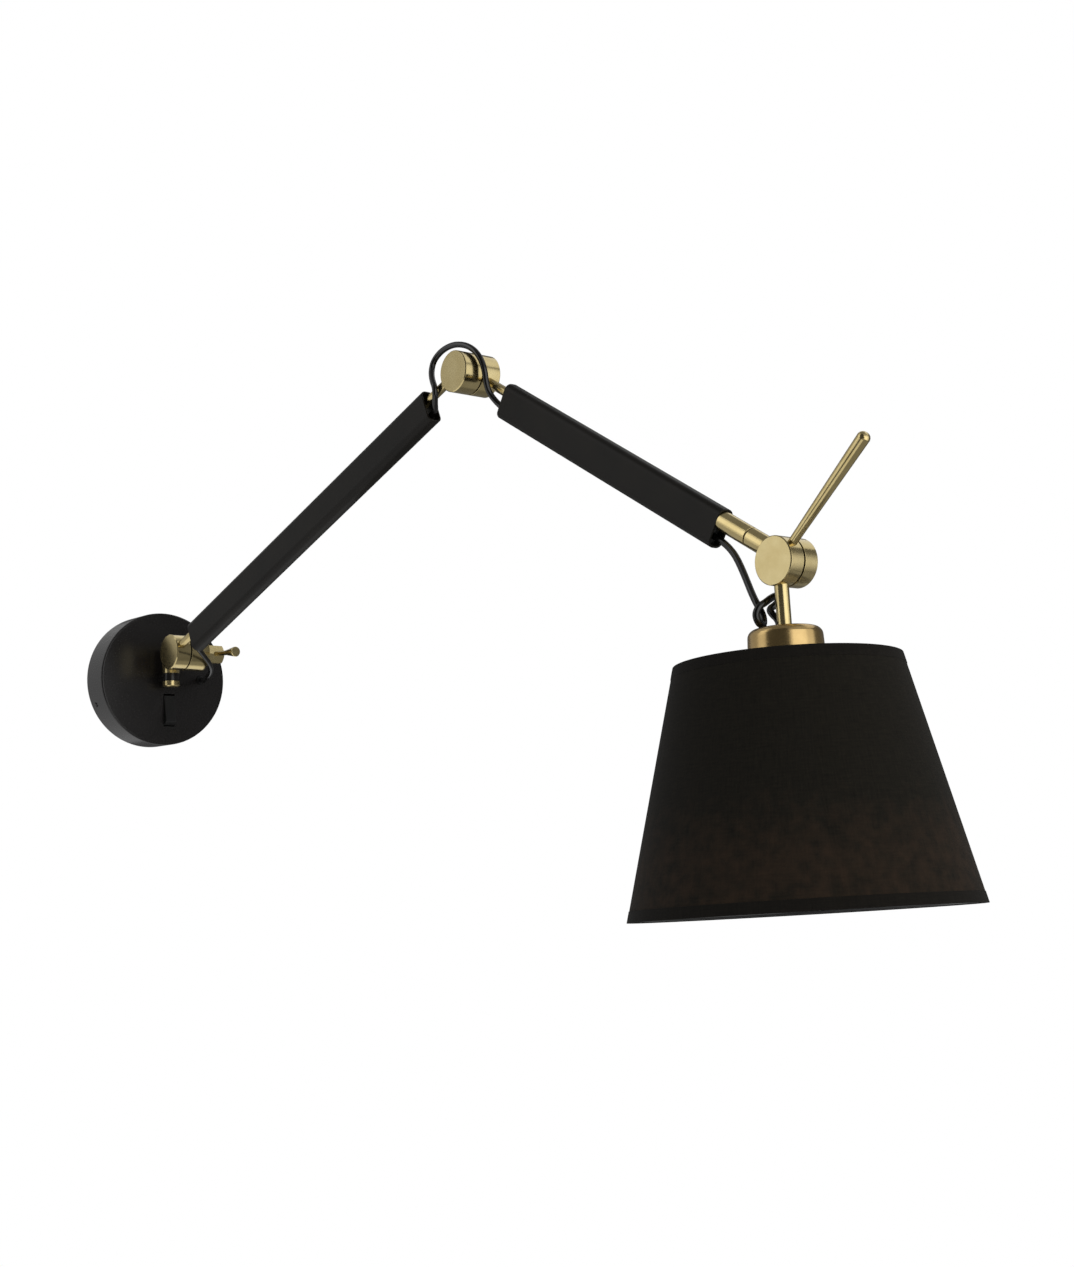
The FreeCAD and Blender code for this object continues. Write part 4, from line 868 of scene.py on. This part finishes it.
(lowerIn, lowerOut), (upperIn, upperOut) = sleeveRuns["lower"], sleeveRuns["upper"]
inside, mouth = cable["joint"], cable["mouth"]
wallRoute = spots(shoulderFrame, [(17.7, 12, -15.8), (20.9, 0, -19.4), (24.5, -11, -21),
                                  (30.5, -22.5, -20.2)])
throughCanopy = [Vector((34, -35, 0)) * mm, Vector((34, -26, 0)) * mm]
underShoulder = (wallRoute[0] + wallRoute[1]) / 2
wristRoute = spots(wristFrame, [(4.6, -49.5, 15.6), (2.8, -42.6, 9.4), (0, -35.5, 1.05),
                                (-3, -29, -7)])
pastTwist = (wristRoute[2] + wristRoute[3]) / 2
gland = spots(shifted(stemFrame, 10.4, 7.3, cup["top"]), [(0, 0, -4), (0, 0, 4)])
routes = {
    "wallCable": [underShoulder, *wallRoute[1:], *throughCanopy],
    "shoulderCable": [underShoulder, wallRoute[0],
                      *spots(shoulderFrame, [(10.9, 22, -11.3), (0.7, 28.5, -4.5)]),
                      *onArm(lowerRodFrame, lowerIn - mouth, lowerIn + inside)],
    "lowerCable": onArm(lowerRodFrame, lowerIn + inside, lowerOut - inside),
    "elbowCable": [*onArm(lowerRodFrame, lowerOut - inside, lowerOut + mouth),
                   *spots(elbowFrame, [
        (-14.5, -22, -18), (-17.2, -17.5, -9.5), (-15, -24, -1.5), (-12, -28.8, 6.5),
        (-10, -28, 14.5), (-8.7, -20.6, 19.8), (-7.5, -11.5, 21.8), (-6.5, -3, 20.9),
        (-5.5, 5.6, 17.8), (-5, 13.3, 12.2), (-4, 18, 5), (-3, 19.8, -2.9), (-1, 18.4, -10.5),
        (2.5, 18.2, -18)]), *onArm(upperRodFrame, upperIn - mouth, upperIn + inside)],
    "upperCable": onArm(upperRodFrame, upperIn + inside, upperOut - inside),
    "wristCable": [*onArm(upperRodFrame, upperOut - inside, upperOut + mouth),
                   *wristRoute[:3], pastTwist],
    # the knot before the cup: in behind, across under itself, up in front, over and down
    "headCable": [pastTwist, wristRoute[3], *spots(wristFrame, [
        (-6, -21.8, -16.9), (-8, -16.2, -23.6), (-6.4, -13.3, -30), (-9.2, -10.6, -36.4),
        (-14.4, -9.7, -35.6), (-16.9, -9.9, -30.4), (-15, -8.4, -25.6), (-10.5, -7.7, -23.4),
        (-5.3, -8.3, -20.4), (0.5, -9.3, -18.2), (6.2, -11.2, -18.6), (6.8, -15.2, -22.4),
        (1.4, -16, -25.4), (0.4, -12.8, -28.8), (1.3, -9.6, -31.8)]), *gland],
}
# the bodies that each length joins, the points of its route between which it is meant to bend,
# and its CAD node; for the head's cable these lie above the knot. Here a length between two
# bodies is left where it lies, and those points are not used
cableBodies = {
    "wallCable": ("wall", "swivel", -2, 1, "wall_cable_lead"),
    "shoulderCable": ("swivel", "lower_arm", 1, -2, "shoulder_cable_loop"),
    "lowerCable": ("lower_arm", None, None, None, "lower_cable_run"),
    "elbowCable": ("lower_arm", "upper_arm", 1, -2, "elbow_cable_loop"),
    "upperCable": ("upper_arm", None, None, None, "upper_cable_run"),
    "wristCable": ("upper_arm", "wrist", 1, -2, "wrist_cable_run"),
    "headCable": ("wrist", "head", 0, 3, "head_cable_lead"),
}
for name, (first, second, start, end, node) in cableBodies.items():
    route = routes[name]
    piece = tube(name, routeLine(name, route))
    if second:
        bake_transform(piece)
    else:
        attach(piece, first)
    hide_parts(node)
print("cable run")

# pieces that stay as the CAD made them, by finish
finishes = {
    "zinc": ["wall_bracket", "bracket_nut", "swivel_pin", "shoulder_stud", "cup_nut",
             "elbow_set_screw", "elbow_axle", "wrist_axle"],
    "lacquer": ["canopy", "swivel_bracket", "canopy_side_screws"],
    "plastic": ["terminal_block", "switch_housing", "switch_rocker", "cable_grommet",
                "cable_gland", "lampholder_body", "shade_ring_nut", "swivel_washers",
                "shoulder_washer", "elbow_washer", "wrist_washer", "lower_plug_inner",
                "lower_plug_outer", "upper_plug_inner", "upper_plug_outer"],
    "smallBrass": ["swivel_nut", "swivel_collar", "swivel_knuckle", "shoulder_stub", "knob_hub",
                   "lampholder_shell", "lampholder_contact"],
}
for finish, nodes in finishes.items():
    for node in nodes:
        dress(node, finish)
print("CAD pieces finished")

# studio in metres: one large soft light in front on the right, a white surround, and cards that
# only reflections see; each card is a patch of the sphere about the lamp, between two turns from
# facing and two rises from level in degrees, with its strength, where 1 is white
studio = {"floor": -0.9, "floorReach": 16.0, "floorTone": "f4f4f4", "whiteFrom": 1.0,
          "whiteBeyond": 2.0, "ambient": 0.5, "centre": (0.03, -0.45, 0.0),
          "facing": (-0.682, -0.731, 0), "cardDistance": 3.0, "cardAboveFloor": 0.05,
          "cardGrid": (24, 8)}
softLight = {"where": (0.5, -2.7, 0.1), "width": 2.4, "height": 1.9, "power": 23}
cards = {
    "softBoxFront": ((23, 66), (-24, 24), 1.8),
    "softBoxSide": ((66, 92), (-24, 24), 1.15),
    "photographerSide": ((-56, 17), (-27, 57), 0.08),
    "leftStrip": ((-86, -62), (15, 46), 1.5),
    "frontTop": ((17, 92), (30, 57), 0.5),
    "rightWing": ((92, 155), (-28, 36), 0.14),
    "leftBack": ((-150, -88), (-30, 57), 0.5),
    "behind": ((155, 210), (-30, 30), 0.1),
    "overhead": ((-180, 180), (57, 89), 0.25),
    "belowRight": ((5, 180), (-88, -28), 0.28),
    "belowLeft": ((-180, 5), (-60, -30), 0.95),
    "belowMiddle": ((-180, 5), (-88, -60), 0.3),
}
# a small flag hung beside the canopy, seen only by reflections too, its corners in mm
flag = {"strength": 0.15, "corners": [
    (45, -300, -450), (850, -300, -450), (850, -300, 450), (45, -300, 450)]}


def studioWorld():
    # white wherever the camera or a reflection looks, softer as a source of light
    world = bpy.data.worlds.new("studioWorld")
    world.use_nodes = True
    bpy.context.scene.world = world
    tree = world.node_tree
    background = tree.nodes["Background"]
    background.inputs["Color"].default_value = (1, 1, 1, 1)
    path = addNode(tree, "ShaderNodeLightPath")
    seen = addNode(tree, "ShaderNodeMath", links={
        0: path.outputs["Is Camera Ray"], 1: path.outputs["Is Glossy Ray"]}, operation="ADD")
    seenThrough = addNode(tree, "ShaderNodeMath", links={
        0: seen.outputs[0], 1: path.outputs["Is Transmission Ray"]}, operation="ADD",
        use_clamp=True)
    strength = addNode(tree, "ShaderNodeMapRange", {"To Min": studio["ambient"]},
                       {"Value": seenThrough.outputs[0]})
    tree.links.new(strength.outputs["Result"], background.inputs["Strength"])


def softBox():
    data = bpy.data.lights.new("softBox", "AREA")
    data.shape = "RECTANGLE"
    data.size, data.size_y = softLight["width"], softLight["height"]
    data.energy = softLight["power"]
    obj = inScene("softBox", data)
    obj.location = softLight["where"]
    aim = Vector(studio["centre"]) - Vector(softLight["where"])
    obj.rotation_euler = aim.to_track_quat("-Z", "Y").to_euler()
    obj.visible_glossy = False  # reflections see its cards instead


def glossyCard(name, vertices, faces, strength):
    # a sheet of even brightness that only reflections see
    mesh = bpy.data.meshes.new(name)
    mesh.from_pydata(vertices, [], faces)
    obj = inScene(name, mesh)
    material, tree, shader = newMaterial(name + "Card", "000000", 0.0, 1.0,
                                         Specular_IOR_Level=0.0)
    shader.inputs["Emission Color"].default_value = (1, 1, 1, 1)
    shader.inputs["Emission Strength"].default_value = strength
    mesh.materials.append(material)
    for ray in ("camera", "diffuse", "shadow", "transmission"):
        setattr(obj, "visible_" + ray, False)


def curvedCard(name, turns, rises, strength):
    # part of the sphere about the lamp, pulled in where it would go through the floor
    facing = Vector(studio["facing"])
    aside = Vector((-facing.y, facing.x, 0))
    columns, rows = studio["cardGrid"]
    lowest = studio["floor"] + studio["cardAboveFloor"]
    vertices = []
    for row in range(rows + 1):
        lift = math.radians(rises[0] + (rises[1] - rises[0]) * row / rows)
        for column in range(columns + 1):
            turnBy = math.radians(turns[0] + (turns[1] - turns[0]) * column / columns)
            level = facing * math.cos(turnBy) + aside * math.sin(turnBy)
            ray = (level * math.cos(lift) + upward * math.sin(lift)) * studio["cardDistance"]
            if ray.z < lowest:
                ray *= lowest / ray.z
            vertices.append(Vector(studio["centre"]) + ray)
    faces = []
    for row in range(rows):
        for column in range(columns):
            first = row * (columns + 1) + column
            faces.append((first, first + 1, first + columns + 2, first + columns + 1))
    glossyCard(name, vertices, faces, strength)


def floorPlane():
    # a pale sheet below that takes the lamp's shadow and turns to plain white further out
    mesh = bpy.data.meshes.new("studioFloor")
    reach = studio["floorReach"]
    mesh.from_pydata([(-reach, -reach, 0), (reach, -reach, 0), (reach, reach, 0),
                      (-reach, reach, 0)], [], [(0, 1, 2, 3)])
    obj = inScene("studioFloor", mesh)
    obj.location = (*studio["centre"][:2], studio["floor"])
    material, tree, shader = newMaterial("paleFloor", studio["floorTone"], 0.0, 0.9,
                                         Specular_IOR_Level=0.0)
    shader.inputs["Emission Color"].default_value = (1, 1, 1, 1)
    spot = addNode(tree, "ShaderNodeTexCoord")
    far = addNode(tree, "ShaderNodeVectorMath", links={0: spot.outputs["Object"]},
                  operation="LENGTH")
    fade = addNode(tree, "ShaderNodeMapRange", {
        "From Min": studio["whiteFrom"], "From Max": studio["whiteBeyond"]},
        {"Value": far.outputs["Value"]})
    tree.links.new(fade.outputs["Result"], shader.inputs["Emission Strength"])
    pale = addNode(tree, "ShaderNodeMix", {"A": srgb(studio["floorTone"]), "B": (0, 0, 0, 1)},
                   {0: fade.outputs["Result"]}, data_type="RGBA")
    tree.links.new(pale.outputs[2], shader.inputs["Base Color"])
    # from underneath the sheet isn't there, so the lamp can be seen from below
    sheetSide = addNode(tree, "ShaderNodeNewGeometry")
    clear = addNode(tree, "ShaderNodeBsdfTransparent")
    oneSided = addNode(tree, "ShaderNodeMixShader", links={
        0: sheetSide.outputs["Backfacing"], 1: shader.outputs["BSDF"],
        2: clear.outputs["BSDF"]})
    tree.links.new(oneSided.outputs[0], tree.nodes["Material Output"].inputs["Surface"])
    mesh.materials.append(material)


studioWorld()
floorPlane()
softBox()
for name, (turns, rises, strength) in cards.items():
    curvedCard(name, turns, rises, strength)
glossyCard("besideCanopy", [Vector(corner) * mm for corner in flag["corners"]],
           [(0, 1, 2, 3)], flag["strength"])

# the photograph's viewpoint, in mm and degrees
cameraFacts = {"where": (-725.84, -1579.29, -166.39), "yaw": 35.91, "pitch": 6.29,
               "roll": -1.3, "lens": 56.70, "sensor": 36, "shift": (-0.0042, 0.0116),
               "clipStart": 0.05}
yaw, pitch, roll = (math.radians(cameraFacts[key]) for key in ("yaw", "pitch", "roll"))
ahead = Vector((math.sin(yaw) * math.cos(pitch), math.cos(yaw) * math.cos(pitch),
                math.sin(pitch)))
right = Vector((math.cos(yaw), -math.sin(yaw), 0))
above = right.cross(ahead)
rightRolled = right * math.cos(roll) + above * math.sin(roll)
aboveRolled = above * math.cos(roll) - right * math.sin(roll)
cameraData = bpy.data.cameras.new("photoCamera")
cameraData.lens = cameraFacts["lens"]
cameraData.sensor_width = cameraFacts["sensor"]
cameraData.shift_x, cameraData.shift_y = cameraFacts["shift"]
cameraData.clip_start = cameraFacts["clipStart"]
camera = inScene("photoCamera", cameraData)
cameraMatrix = Matrix((rightRolled, aboveRolled, -ahead)).transposed().to_4x4()
cameraMatrix.translation = Vector(cameraFacts["where"]) * mm
camera.matrix_world = cameraMatrix
bpy.context.scene.camera = camera
bpy.context.scene.view_settings.view_transform = "Standard"
print("studio set")
